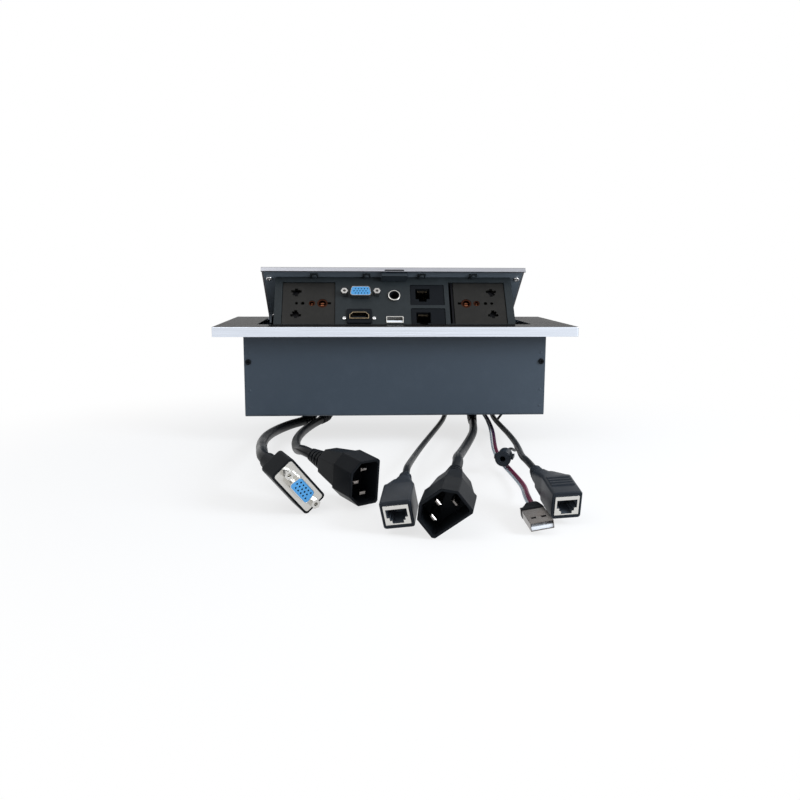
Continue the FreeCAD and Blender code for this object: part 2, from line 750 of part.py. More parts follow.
def vga_core(base, back):
    nose = d_section(vga_half_wide - vga_wall, vga_half_height - vga_wall, base - vga_flange_thick,
                     vga_reach - 0.3, 1.7)
    rear = block(vga_half_wide * 2, vga_half_height * 2, back, base - vga_flange_thick, 1.0)
    body = join([nose, rear])
    for row in (-1, 0, 1):
        for place in range(5):
            x = (place - 2) * vga_pin_pitch + (vga_pin_pitch / 4 if row else -vga_pin_pitch / 4)
            body = body.cut(rod(vga_pin_hole / 2, V(x, row * vga_row_pitch, vga_reach - vga_pin_depth),
                                V(0, 0, 1), vga_pin_depth))
    return body


def vga_nuts(base, depth):
    nuts = []
    for x in (-vga_pitch / 2, vga_pitch / 2):
        corners = [(x + hex_nut / 2 / math.cos(math.pi / 6) * math.cos(math.pi / 3 * k),
                    hex_nut / 2 / math.cos(math.pi / 6) * math.sin(math.pi / 3 * k)) for k in range(6)]
        nut = prism(corners, hex_reach - base, base)
        nut = join([nut, rod(thread / 2, V(x, 0, base - depth), V(0, 0, 1), depth)])
        nuts.append(nut.cut(rod(thread * 0.42, V(x, 0, hex_reach - 4), V(0, 0, 1), 5)))
    return nuts


# Power socket modules
def live_holes(depth):
    slots = []
    for p in (-live_step, live_step):
        lean = 1 if p > 0 else -1
        slots.append(rod(2.4, V(0, p, -depth), V(0, 0, 1), depth + 1))
        slots.append(box(-4.0, 4.0, p + lean * 1.0 - 1.1, p + lean * 1.0 + 1.1, -depth, 1))
        slots.append(box(-1.2, 1.2, p - 3.6, p + 3.6, -depth, 1))
        tilt = box(-3.4, 3.4, -0.9, 0.9, -depth, 1)
        tilt.rotate(V(0, 0, 0), V(0, 0, 1), 40 * lean)
        tilt.translate(V(0, p, 0))
        slots.append(tilt)
    return join(slots)


def small_holes(depth):
    return [rod(1.2, V(0.3, 0, -depth), V(0, 0, 1), depth + 1),
            rod(1.4, V(5.1, 0, -depth), V(0, 0, 1), depth + 1)]


def earth_wing(depth, grow=0.0):
    return box(0, earth_large / 2 + 2.6 + grow, -1.0 - grow, 1.0 + grow, -depth, 1)


def module_parts():
    front = -face_sunk
    face_back = front - face_thick
    face = block(module_length, module_height, face_back, front, 0.6)
    holes = live_holes(20)
    holes.translate(V(-live_offset, 0, 0))
    face = face.cut(holes)
    for hole in small_holes(20):
        hole.translate(V(-live_offset, 0, 0))
        face = face.cut(hole)
    small = V(earth_small_offset, 0, 0)
    large = V(earth_large_offset, 0, 0)
    wing = earth_wing(20)
    wing.translate(large)
    face = face.cut(rod(earth_small / 2, small - V(0, 0, 20), V(0, 0, 1), 30))
    face = face.cut(rod(earth_large / 2, large - V(0, 0, 20), V(0, 0, 1), 30)).cut(wing)
    flange_front = -panel_sheet
    rim = block(module_length + 2 * module_flange, module_height + 2 * module_flange,
                face_back, flange_front, 1.0)
    rim = rim.cut(block(module_length + 2 * window_gap, module_height + 2 * window_gap,
                        face_back - 1, flange_front + 1))
    rear = block(module_length - 2 * base_inset, module_height - 2 * base_inset,
                 face_back - base_depth, face_back, 1.0)
    lip = block(module_length + 2 * module_flange, module_height + 2 * module_flange,
                face_back - module_flange_thick, face_back, 1.0)
    base = join([rim, lip, rear])
    pocket_x = shutter_length / 2 + shutter_fit
    pocket_low = -module_height / 2
    pocket_high = shutter_height / 2 + shutter_fit
    base = base.cut(box(-live_offset - pocket_x, -live_offset + pocket_x, pocket_low, pocket_high,
                        face_back - shutter_thick - 2 * shutter_fit, face_back + 0.01))
    chamber_top = face_back - shutter_thick - 2 * shutter_fit
    for p in (-live_step, live_step):
        base = base.cut(box(-live_offset - 4.2, -live_offset + 4.2, p - 4.2, p + 4.2,
                            chamber_top - 11, chamber_top + 0.01))
    base = base.cut(rod(earth_small / 2, small + V(0, 0, face_back - 13), V(0, 0, 1), 13))
    base = base.cut(rod(earth_large / 2, large + V(0, 0, face_back - 13), V(0, 0, 1), 13))
    shutter = box(-live_offset - shutter_length / 2, -live_offset + shutter_length / 2,
                  -shutter_height / 2, shutter_height / 2,
                  face_back - shutter_fit - shutter_thick, face_back - shutter_fit)
    for p in (-live_step, live_step):
        shutter = shutter.cut(box(-live_offset - 3.4, -live_offset + 3.4,
                                  p + shutter_travel - 1.9, p + shutter_travel + 1.9,
                                  face_back - 5, front))
    contacts = [ring(earth_small / 2, earth_small / 2 - earth_wall, small + V(0, 0, face_back - 13),
                     V(0, 0, 1), 13 + face_thick - 0.3),
                ring(earth_large / 2, earth_large / 2 - earth_wall - 0.4, large + V(0, 0, face_back - 13),
                     V(0, 0, 1), 13 + face_thick - 0.3)]
    for p in (-live_step, live_step):
        for way in (-1, 1):
            inner = -live_offset + way * (4.2 - contact_wall)
            contacts.append(box(min(inner, inner + way * contact_wall), max(inner, inner + way * contact_wall),
                                p - 3.0, p + 3.0, chamber_top - 11, chamber_top - 1))
    return face, base, shutter, contacts


face, base, shutter, contacts = module_parts()


def left_module(shape):
    return on_panel(shape, -module_x, module_p)


def right_module(shape):
    return on_panel(shape.mirror(V(0, 0, 0), V(1, 0, 0)), module_x, module_p)


save("socket_faces", [left_module(face), right_module(face)], True)
save("socket_bases", [left_module(base), right_module(base)], True)
save("socket_shutter_left", left_module(shutter), True)
save("socket_shutter_right", right_module(shutter), True)
save("socket_contacts", [left_module(c) for c in contacts] + [right_module(c) for c in contacts], True)

# Display socket
behind = -panel_sheet
save("vga_shell", on_panel(vga_metal(behind), vga_x, vga_p), True)
save("vga_insert", on_panel(vga_core(behind, behind - vga_back), vga_x, vga_p), True)
save("vga_nuts", [on_panel(n, vga_x, vga_p) for n in vga_nuts(0.0, panel_sheet + vga_flange_thick + 2)], True)


# Second display socket
def hdmi_outline(length, height, back, front):
    half = length / 2
    cut = height * 0.42
    points = [(-half, -height / 2), (half, -height / 2), (half, height / 2 - cut),
              (half - cut, height / 2), (-half + cut, height / 2), (-half, height / 2 - cut)]
    return prism(points, front - back, back)


def hdmi_parts():
    opening = hdmi_outline(hdmi_length, hdmi_height, -hdmi_depth + 2, hdmi_reach + 1)
    bored = opening.cut(box(-20, 20, -20, 20, hdmi_block_reach + 0.5, hdmi_reach + 5))
    block_part = block(hdmi_block_length, hdmi_block_height, -hdmi_depth, hdmi_block_reach, 1.2)
    wing = block(hdmi_screw_pitch + 6, 6.0, -panel_sheet - 2.5, -panel_sheet)
    wing.translate(V(0, -hdmi_screw_drop, 0))
    tongue = box(-hdmi_length / 2 + 2, hdmi_length / 2 - 2, -0.6, 0.6, -hdmi_depth + 1,
                 hdmi_reach - 2.2)
    body = join([join([block_part, wing]).cut(bored), tongue])
    for x in (-hdmi_screw_pitch / 2, hdmi_screw_pitch / 2):
        body = body.cut(rod(1.0, V(x, -hdmi_screw_drop, -10), V(0, 0, 1), 12))
    shell = hdmi_outline(hdmi_length, hdmi_height, -hdmi_depth + 2, hdmi_reach)
    shell = shell.cut(hdmi_outline(hdmi_length - 2 * hdmi_wall, hdmi_height - 2 * hdmi_wall,
                                   -hdmi_depth + 1, hdmi_reach + 1))
    screws = []
    for x in (-hdmi_screw_pitch / 2, hdmi_screw_pitch / 2):
        place = seat(V(x, -hdmi_screw_drop, 0), V(1, 0, 0), V(0, 1, 0), V(0, 0, 1))
        screws.append(put(pan_screw(hdmi_screw_head, 1.1, 2.0, panel_sheet + 2.5), place))
    return body, shell, screws


hdmi_body, hdmi_shell, hdmi_screws = hdmi_parts()
save("hdmi_body", on_panel(hdmi_body, hdmi_x, hdmi_p), True)
save("hdmi_shell", on_panel(hdmi_shell, hdmi_x, hdmi_p), True)
save("hdmi_screws", [on_panel(s, hdmi_x, hdmi_p) for s in hdmi_screws], True)


# Sound socket
def sound_parts():
    z = V(0, 0, 1)
    neck = rod(jack_thread / 2, V(0, 0, -panel_sheet), z, panel_sheet + jack_reach)
    body = join([neck, block(11.0, 11.0, -jack_depth, -panel_sheet, 1.0)])
    body = body.cut(rod(jack_bore / 2, V(0, 0, -jack_depth + 1.5), z, jack_depth + 5))
    nut = ring(jack_nut / 2, jack_thread / 2, V(0, 0, 0), z, jack_reach)
    edge = [e for e in nut.Edges if abs(e.BoundBox.ZMin - jack_reach) < 1e-6
            and abs(e.BoundBox.XMax - jack_nut / 2) < 1e-3 and len(e.Vertexes) == 1]
    return body, nut.makeFillet(0.4, edge)


jack_body, jack_nut_ring = sound_parts()
save("jack_body", on_panel(jack_body, jack_x, jack_p), True)
save("jack_nut", on_panel(jack_nut_ring, jack_x, jack_p), True)


# Charging and data sockets
def usb_parts():
    shell = block(usb_length, usb_height, -usb_depth, usb_reach, 0.6)
    rim = block(usb_length + 2, usb_height + 2, -panel_sheet - 0.5, -panel_sheet)
    shell = join([shell, rim])
    shell = shell.cut(block(usb_length - 2 * usb_wall, usb_height - 2 * usb_wall, -usb_depth + usb_wall,
                            usb_reach + 1))
    floor = -usb_height / 2 + usb_wall
    tongue = box(-usb_length / 2 + usb_wall, usb_length / 2 - usb_wall, floor, floor + usb_tongue,
                 -usb_depth + usb_wall, usb_reach - 0.5)
    return shell, tongue


usb_shell, usb_tongue_part = usb_parts()
save("usb_shell", on_panel(usb_shell, usb_x, usb_p), True)
save("usb_tongue", on_panel(usb_tongue_part, usb_x, usb_p), True)


def lan_parts(plate_x):
    shift = lan_port_x - plate_x
    plate = block(lan_plate_length - 2 * lan_plate_gap, lan_plate_height - 2 * lan_plate_gap,
                  -panel_sheet, -lan_plate_sunk, 0.8)
    flange = block(lan_plate_length + 2 * lan_flange, lan_plate_height + 2 * lan_flange,
                   -panel_sheet - lan_flange_thick, -panel_sheet, 0.8)
    rear = block(lan_port_length + 2 * lan_wall, lan_port_height + 2 * lan_wall, -lan_depth, -panel_sheet)
    rear.translate(V(shift, 0, 0))
    hole = lan_hole(lan_port_length, lan_port_height, lan_key_length, lan_key_height,
                    -lan_depth + lan_wall, 1)
    hole.translate(V(shift, 0, 0))
    body = join([plate, flange, rear]).cut(hole)
    wires = []
    for k in range(8):
        x = shift + (k - 3.5) * 1.02
        wires.append(box(x - 0.25, x + 0.25, lan_port_height / 2 - 1.6, lan_port_height / 2,
                         -lan_depth + lan_wall, -3.0))
    return body, wires


lan_body, lan_wires = lan_parts(lan_upper[0])
save("lan_jack_upper", on_panel(lan_body, *lan_upper), True)
save("lan_jack_lower", on_panel(lan_body, *lan_lower), True)
save("lan_contacts", [on_panel(w, *spot) for spot in (lan_upper, lan_lower) for w in lan_wires], True)


# Panel, tray and latch
def make_panel():
    body = box(-panel_half, panel_half, -panel_reach, -panel_reach + panel_sheet, panel_bottom, liner_bottom)
    tabs = [box(x - tab_width / 2, x + tab_width / 2, -panel_reach - tab_reach, -panel_reach,
                liner_bottom - panel_sheet, liner_bottom) for x in tab_x]
    body = join([body] + tabs)
    for x in tab_x:
        body = body.cut(rod(thread / 2, V(x, -panel_reach - tab_reach / 2, 0), V(0, 0, 1), lid_top))
    high = module_height / 2 + window_gap
    wide = module_length / 2 + window_gap
    window_a = box(-wide, wide, -high, high, -9, 9)
    window_b = box(-wide - window_extra, wide, -high, high, -9, 9)
    body = body.cut(on_panel(window_a, -module_x, module_p)).cut(on_panel(window_b, module_x, module_p))
    body = body.cut(on_panel(d_section(vga_half_wide, vga_half_height, -9, 9), vga_x, vga_p))
    for x in (-vga_pitch / 2, vga_pitch / 2):
        body = body.cut(on_panel(rod(thread / 2, V(x, 0, -9), V(0, 0, 1), 18), vga_x, vga_p))
    body = body.cut(on_panel(block(hdmi_block_length, hdmi_block_height, -9, 9, 1.2), hdmi_x, hdmi_p))
    for x in (-hdmi_screw_pitch / 2, hdmi_screw_pitch / 2):
        body = body.cut(on_panel(rod(1.0, V(x, -hdmi_screw_drop, -9), V(0, 0, 1), 18), hdmi_x, hdmi_p))
    body = body.cut(on_panel(rod(jack_thread / 2, V(0, 0, -9), V(0, 0, 1), 18), jack_x, jack_p))
    body = body.cut(on_panel(block(usb_length, usb_height, -9, 9, 0.6), usb_x, usb_p))
    for x, p in (lan_upper, lan_lower):
        body = body.cut(on_panel(block(lan_plate_length, lan_plate_height, -9, 9, 0.8), x, p))
    return body


def make_tray():
    front = -panel_reach + panel_sheet
    profile = [(front, liner_bottom), (front, panel_bottom), (-tray_back, panel_bottom),
               (-tray_top_back, -tray_waist), (-tray_top_back, liner_bottom)]
    pieces = []
    for side in (-1, 1):
        x0 = panel_half - tray_sheet if side > 0 else -panel_half
        pieces.append(side_prism(profile, x0, x0 + tray_sheet))
        f0 = panel_half - tray_sheet - tray_flange if side > 0 else -panel_half + tray_sheet
        pieces.append(box(f0, f0 + tray_flange, front, -tray_top_back,
                          liner_bottom - tray_sheet, liner_bottom))
    pieces.append(box(-panel_half, panel_half, front, -tray_back, panel_bottom, panel_bottom + tray_sheet))
    return join(pieces)


def make_latch():
    body = box(-latch_length / 2, latch_length / 2, -latch_front, -latch_back,
               liner_bottom - latch_height, liner_bottom)
    side = tongue_length / 2 + tongue_fit
    return body.cut(box(-side, side, -latch_front - 1, -tongue_back + tongue_fit,
                        tongue_top - tongue_thick - tongue_fit, liner_bottom + 1))


def make_tongue():
    return box(-tongue_length / 2, tongue_length / 2, -tongue_front, -tongue_back,
               tongue_top - tongue_thick, tongue_top)


save("socket_panel", make_panel(), True)
save("carriage_tray", make_tray(), True)
save("latch_body", make_latch(), True)
save("latch_tongue", make_tongue(), True)


# Plugs on the free ends
def ribbed(radius_back, radius_front, back, front, ribs):
    body = Part.makeCone(radius_back, radius_front, front - back, V(0, 0, back), V(0, 0, 1))
    step = (front - back) / (ribs + 0.5)
    for k in range(ribs):
        z = back + step * (k + 0.6)
        body = body.cut(ring(radius_front + 2, radius_back - 0.2, V(0, 0, z), V(0, 0, 1), step * 0.35))
    return body


def taper(back_points, back, front_points, front):
    wires = []
    for points, z in ((back_points, back), (front_points, front)):
        corners = [V(x, y, z) for x, y in points]
        wires.append(Part.makePolygon(corners + corners[:1]))
    return Part.makeLoft(wires, True, True)


def oblong(length, height, cut):
    x = length / 2
    y = height / 2
    return [(-x + cut, -y), (x - cut, -y), (x, -y + cut), (x, y - cut), (x - cut, y), (-x + cut, y),
            (-x, y - cut), (-x, -y + cut)]


def vga_hood():
    length = vga_plug[4]
    radius = vga_cord_diameter / 2
    front = block(vga_hood_length, vga_hood_height, -vga_hood_deep, 0.0, 2.2)
    middle = taper(oblong(13, 11, 3), -length + 12, oblong(vga_hood_length - 2, vga_hood_height - 1.5, 3),
                   -vga_hood_deep)
    neck = Part.makeCone(radius + 1.2, 5.5, 12.0, V(0, 0, -length), V(0, 0, 1))
    pocket = block(vga_flange_length, vga_flange_height, -0.8, 1.0, 1.5)
    core = block(vga_half_wide * 2, vga_half_height * 2, -6.0, 0.0, 1.0)
    body = join([front, middle, neck]).cut(pocket).cut(core)
    for x in (-vga_pitch / 2, vga_pitch / 2):
        body = body.cut(rod(thread / 2, V(x, 0, -3.8), V(0, 0, 1), 4.8))
    return body


def mains_points(length, height, cut):
    x = length / 2
    y = height / 2
    small = min(1.2, cut * 0.3)
    return [(-x + small, -y), (x - small, -y), (x, -y + small), (x, y - cut), (x - cut, y), (-x + cut, y),
            (-x, y - cut), (-x, -y + small)]


def mains_body_part(length):
    radius = mains_cord_diameter / 2
    front = prism(mains_points(mains_face_long, mains_face_high, mains_chamfer), mains_collar, -mains_collar)
    front = rounded(front, mains_shoulder)
    middle = taper(mains_points(mains_waist_long, mains_waist_high, mains_waist_high / 3),
                   -length + mains_neck,
                   mains_points(mains_face_long - 2 * mains_shoulder, mains_face_high - 2 * mains_shoulder,
                                mains_chamfer), -mains_collar)
    neck = ribbed(radius + 0.9, mains_waist_high / 2 - 0.4, -length, -length + mains_neck, 4)
    hollow = prism(mains_points(mains_face_long - 2 * mains_wall, mains_face_high - 2 * mains_wall,
                                mains_chamfer - mains_wall * 0.6), mains_cavity + 1, -mains_cavity)
    body = join([front, middle, neck]).cut(hollow)
    for x, y in mains_pin_spots:
        body = body.cut(pin_at(x, y))
    return body


mains_pin_spots = [(-mains_pin_pitch / 2, 0.0), (mains_pin_pitch / 2, 0.0), (0.0, mains_pin_rise)]


def pin_at(x, y):
    tip = -mains_cavity + mains_pin_reach
    pin = block(mains_pin_thick, mains_pin_long, -mains_cavity - 3, tip)
    pin = pin.makeChamfer(mains_pin_tip, [e for e in pin.Edges if abs(e.BoundBox.ZMin - tip) < 1e-6])
    pin.translate(V(x, y - (1.0 if y == 0.0 else 0.0), 0))
    return pin


def lan_plug_part(length, side=0.0):
    radius = lan_cord_diameter / 2
    front = block(lan_boot_length, lan_boot_height, -lan_boot_deep, 0.0, 1.2)
    small = [(x + side, y) for x, y in oblong(9, 9, 2.4)]
    middle = taper(small, -length + 7, oblong(lan_boot_length - 3, lan_boot_height - 3, 2.4),
                   -lan_boot_deep)
    neck = Part.makeCone(radius + 0.9, 3.8, 7.0, V(side, 0, -length), V(0, 0, 1))
    hollow = block(lan_shell_length, lan_shell_height, -lan_shell_deep, 1.0)
    return join([front, middle, neck]).cut(hollow)


def lan_shell_part():
    outer = block(lan_shell_length, lan_shell_height, -lan_shell_deep, 0.3)
    inner = block(lan_shell_length - 2 * lan_shell_wall, lan_shell_height - 2 * lan_shell_wall,
                  -lan_shell_deep + lan_shell_wall, -lan_shell_wall + 0.3)
    hole = lan_hole(11.2, 9.4, 6.0, 2.2, -1.0, 1.0)
    step = box(-4.2, 4.2, -3.7, -2.4, -1.0, 1.0)
    return outer.cut(inner).cut(hole).cut(step)


def usb_plug_parts(length):
    body_front = -usb_shell_reach
    radius = usb_red_diameter / 2
    root = body_front - usb_shell_root
    body = block(usb_body_length, usb_body_height, -length, body_front, 1.2)
    sleeve = block(usb_shell_length + 2, usb_body_height, root, body_front, 1.2)
    body = join([body, sleeve]).cut(block(usb_shell_length, usb_shell_height, root, body_front + 1))
    shell = block(usb_shell_length, usb_shell_height, root, 0.0, 0.3)
    shell = shell.cut(block(usb_shell_length - 2 * usb_shell_wall, usb_shell_height - 2 * usb_shell_wall,
                            root + usb_shell_wall, 1.0))
    for x in (-2.6, 2.6):
        window = box(x - 1.25, x + 1.25, usb_shell_height / 2 - 1, usb_shell_height / 2 + 1, -7.6, -5.2)
        shell = shell.cut(window)
    low = -usb_shell_height / 2 + usb_shell_wall
    tongue = box(-usb_shell_length / 2 + usb_shell_wall, usb_shell_length / 2 - usb_shell_wall,
                 low, low + 1.85, root + usb_shell_wall, -0.5)
    return body, shell, tongue


def sound_plug_part(length):
    z = V(0, 0, 1)
    barrel = rod(sound_barrel / 2, V(0, 0, -length + 4), z, length - 4)
    collar = rod(sound_barrel / 2 + 0.6, V(0, 0, -2.2), z, 2.0)
    neck = Part.makeCone(sound_cord_diameter / 2 + 0.5, sound_barrel / 2, 4.0, V(0, 0, -length), z)
    fin = box(-sound_barrel / 2 - 1.6, sound_barrel / 2 + 1.6, -1.0, 1.0, -length + 5, -3.0)
    body = join([barrel, collar, neck, fin])
    return body.cut(rod(sound_bore / 2, V(0, 0, -sound_bore_deep), z, sound_bore_deep + 1))


def placed(shapes, pose):
    place = plug_place(pose)
    return [put(s, place) for s in shapes] if isinstance(shapes, list) else put(shapes, place)


save("vga_plug_hood", placed(vga_hood(), vga_plug))
save("vga_plug_shell", placed(vga_metal(0.0), vga_plug))
save("vga_plug_insert", placed(vga_core(0.0, -6.0), vga_plug))
save("vga_plug_nuts", placed(vga_nuts(0.0, 3.8), vga_plug))
save("mains_plug_left", placed(mains_body_part(mains_plug_a[4]), mains_plug_a))
save("mains_plug_right", placed(mains_body_part(mains_plug_b[4]), mains_plug_b))
save("mains_pins", [placed(pin_at(x, y), pose) for pose in (mains_plug_a, mains_plug_b)
                    for x, y in mains_pin_spots])
save("lan_plug_left", placed(lan_plug_part(lan_plug_a[4]), lan_plug_a))
save("lan_plug_right", placed(lan_plug_part(lan_plug_b[4], lan_neck_side), lan_plug_b))
save("lan_plug_shells", [placed(lan_shell_part(), lan_plug_a), placed(lan_shell_part(), lan_plug_b)])
usb_body, usb_metal, usb_white = usb_plug_parts(usb_plug[4])
save("usb_plug_body", placed(usb_body, usb_plug))
save("usb_plug_shell", placed(usb_metal, usb_plug))
save("usb_plug_tongue", placed(usb_white, usb_plug))
save("sound_plug", placed(sound_plug_part(sound_plug[4]), sound_plug))
print(len(kept), "nodes")
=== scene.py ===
"""Desk socket box: the looks, dressed over its fixed frame."""
import bpy
import bmesh
import math
from bpy.props import FloatProperty, FloatVectorProperty, IntProperty, PointerProperty
from mathutils import Matrix, Vector


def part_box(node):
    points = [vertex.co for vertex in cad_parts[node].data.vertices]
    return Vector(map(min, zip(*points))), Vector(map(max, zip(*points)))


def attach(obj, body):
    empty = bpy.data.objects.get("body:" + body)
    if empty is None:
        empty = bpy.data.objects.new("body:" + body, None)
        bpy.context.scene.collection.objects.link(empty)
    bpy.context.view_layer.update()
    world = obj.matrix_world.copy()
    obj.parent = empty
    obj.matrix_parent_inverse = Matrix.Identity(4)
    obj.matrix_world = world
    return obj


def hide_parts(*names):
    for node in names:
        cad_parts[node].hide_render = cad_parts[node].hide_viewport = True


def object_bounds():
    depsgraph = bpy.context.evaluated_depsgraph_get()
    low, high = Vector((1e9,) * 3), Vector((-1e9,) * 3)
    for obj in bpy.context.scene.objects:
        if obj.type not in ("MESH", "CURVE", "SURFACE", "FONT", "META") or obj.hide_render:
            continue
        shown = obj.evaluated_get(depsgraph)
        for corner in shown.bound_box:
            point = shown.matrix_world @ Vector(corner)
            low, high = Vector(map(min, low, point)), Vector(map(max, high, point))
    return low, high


bl_info = {
    "name": "Desk Socket Box",
    "version": (1, 0, 0),
    "blender": (4, 5, 0),
    "location": "View3D > Sidebar > Socket Box",
    "description": "Builds the looks of a flip-up desk socket box and its leads",
    "category": "Add Mesh",
}

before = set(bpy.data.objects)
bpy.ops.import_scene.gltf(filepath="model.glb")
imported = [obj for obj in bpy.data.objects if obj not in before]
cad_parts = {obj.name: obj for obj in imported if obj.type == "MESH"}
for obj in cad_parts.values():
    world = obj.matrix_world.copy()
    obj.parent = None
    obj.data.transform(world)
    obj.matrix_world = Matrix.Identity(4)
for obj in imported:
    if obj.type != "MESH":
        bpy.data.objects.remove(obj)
cad_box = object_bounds()
MM = 0.001


def new_object(name, data):
    """Puts an object with this data in the scene."""
    thing = bpy.data.objects.new(name, data)
    bpy.context.scene.collection.objects.link(thing)
    return thing


# Shader nodes, and the node groups that several finishes share
groups = {}
finishes = {}


def feed(tree, node, feeds):
    """Sets a node's inputs, or links them to the outputs of other nodes."""
    for name, value in feeds.items():
        if isinstance(value, bpy.types.NodeSocket):
            tree.links.new(value, node.inputs[name])
        else:
            node.inputs[name].default_value = value


def put(tree, kind, feeds=None, **settings):
    """Adds a node, gives it its settings and feeds its inputs."""
    node = tree.nodes.new("ShaderNode" + kind)
    for name, value in settings.items():
        setattr(node, name, value)
    feed(tree, node, feeds or {})
    return node


def make_group(name, inputs, outputs):
    """A node group with inputs as {name: default} and outputs as {name: kind of socket}."""
    group = bpy.data.node_groups.new(name, "ShaderNodeTree")
    for label, value in inputs.items():
        socket = group.interface.new_socket(name=label, in_out="INPUT", socket_type="NodeSocketFloat")
        socket.default_value = value
    for label, kind in outputs.items():
        group.interface.new_socket(name=label, in_out="OUTPUT", socket_type="NodeSocket" + kind)
    return group, group.nodes.new("NodeGroupInput").outputs, group.nodes.new("NodeGroupOutput").inputs


def maths(tree, operation, first, second, clamp=False):
    return put(tree, "Math", {0: first, 1: second}, operation=operation, use_clamp=clamp).outputs[0]


def noise(tree, place, scale, detail, rough):
    feeds = {"Vector": place, "Scale": scale, "Detail": detail, "Roughness": rough}
    return put(tree, "TexNoise", feeds).outputs["Fac"]


def object_place(tree):
    return put(tree, "TexCoord").outputs["Object"]


def stretched(tree, place, factors):
    return put(tree, "VectorMath", {0: place, 1: factors}, operation="MULTIPLY").outputs[0]


def make_grain_group():
    """Fine moulded or sprayed grain with a slow drift of tone."""
    group, ins, outs = make_group("Fine Grain", {"Size": 2200.0, "Contrast": 1.0},
                                  {"Speckle": "Float", "Drift": "Float", "Height": "Float"})
    place = object_place(group)
    fine = noise(group, place, scale=ins["Size"], detail=3.0, rough=0.6)
    sharp = maths(group, "MULTIPLY", maths(group, "SUBTRACT", fine, 0.5), ins["Contrast"])
    group.links.new(maths(group, "ADD", sharp, 0.5, True), outs["Speckle"])
    group.links.new(noise(group, place, scale=34.0, detail=3.0, rough=0.55), outs["Drift"])
    group.links.new(fine, outs["Height"])
    return group


def make_brush_group():
    """Long fine scratches along X, as left by a belt on sheet metal, and wide bands of them."""
    group, ins, outs = make_group("Belt Brushing", {"Length": 22.0, "Width": 2600.0},
                                  {"Streaks": "Float", "Bands": "Float"})
    place = object_place(group)
    along = put(group, "CombineXYZ", {"X": ins["Length"], "Y": ins["Width"], "Z": ins["Width"]})
    fine = stretched(group, place, along.outputs[0])
    wide = stretched(group, place, (9.0, 260.0, 260.0))
    group.links.new(noise(group, fine, scale=1.0, detail=2.0, rough=0.7), outs["Streaks"])
    group.links.new(noise(group, wide, scale=1.0, detail=3.0, rough=0.6), outs["Bands"])
    return group


def make_edge_group():
    """Rounds the look of sharp sheet edges and adds fine relief."""
    group, ins, outs = make_group("Soft Edge", {"Radius": 0.0003, "Relief": 0.5, "Strength": 0.1},
                                  {"Normal": "Vector"})
    bevel = put(group, "Bevel", {"Radius": ins["Radius"]}, samples=4)
    bump = put(group, "Bump", {"Distance": 0.0002, "Strength": ins["Strength"], "Height": ins["Relief"],
                               "Normal": bevel.outputs[0]})
    group.links.new(bump.outputs[0], outs["Normal"])
    return group


def make_dust_group():
    """Pale dust and rubbed marks, more of it on faces that look up."""
    group, ins, outs = make_group("Handling Marks", {"Amount": 0.2}, {"Mask": "Float"})
    normal = put(group, "NewGeometry").outputs["Normal"]
    upward = put(group, "SeparateXYZ", {0: normal}).outputs["Z"]
    up = maths(group, "ADD", maths(group, "MULTIPLY", upward, 0.5), 0.5, True)
    patch = noise(group, object_place(group), scale=90.0, detail=5.0, rough=0.65)
    patch = maths(group, "MULTIPLY", maths(group, "SUBTRACT", patch, 0.5), 5.0, True)
    mask = maths(group, "MULTIPLY", patch, up)
    group.links.new(maths(group, "MULTIPLY", mask, ins["Amount"], True), outs["Mask"])
    return group


GROUP_MAKERS = {"grain": make_grain_group, "brush": make_brush_group, "edge": make_edge_group,
                "dust": make_dust_group}


def group_in(tree, key, **feeds):
    """Places a shared group with its own values and returns its outputs."""
    if key not in groups:
        groups[key] = GROUP_MAKERS[key]()
    return put(tree, "Group", feeds, node_tree=groups[key]).outputs


def mix_colour(tree, factor, first, second):
    """Blends two colours, each plain red, green and blue or the output of a node."""
    first, second = (c if isinstance(c, bpy.types.NodeSocket) else (*c, 1.0) for c in (first, second))
    return put(tree, "Mix", {0: factor, 6: first, 7: second}, data_type="RGBA").outputs[2]


def darkened(tree, colour, share):
    return put(tree, "HueSaturation", {"Color": colour, "Value": share}).outputs[0]


def spread(tree, value, low, high, start=0.25, end=0.75):
    """Carries a value from the range start to end over to the range low to high."""
    feeds = {"Value": value, "From Min": start, "From Max": end, "To Min": low, "To Max": high}
    return put(tree, "MapRange", feeds).outputs[0]


def soft_edge(tree, height, radius, strength):
    return group_in(tree, "edge", Radius=radius, Strength=strength, Relief=height)["Normal"]


def start_finish(name):
    """A new material with nothing but a Principled shader on its output."""
    material = bpy.data.materials.new(name)
    material.use_nodes = True
    tree = material.node_tree
    tree.nodes.clear()
    shader = put(tree, "BsdfPrincipled")
    put(tree, "OutputMaterial", {0: shader.outputs[0]})
    finishes[name] = material
    return tree, shader


def sprayed_finish(name, colour, rough, size=1600.0, lift=1.3, relief=0.1, edge=0.0003, dust=0.1,
                   dust_colour=(0.5, 0.5, 0.5), spec=0.5):
    """A painted, moulded or rubber skin: grain, slow drift of tone, dust and soft edges."""
    tree, shader = start_finish(name)
    grain = group_in(tree, "grain", Size=size, Contrast=1.6)
    dark = tuple(c / lift for c in colour)
    light = tuple(min(1.0, c * lift) for c in colour)
    base = mix_colour(tree, grain["Speckle"], dark, light)
    base = mix_colour(tree, spread(tree, grain["Drift"], 0.0, 0.35), base, colour)
    base = mix_colour(tree, group_in(tree, "dust", Amount=dust)["Mask"], base, dust_colour)
    feed(tree, shader, {
        "Base Color": base, "Roughness": spread(tree, grain["Drift"], rough - 0.05, rough + 0.07),
        "Specular IOR Level": spec, "Normal": soft_edge(tree, grain["Height"], edge, relief)})


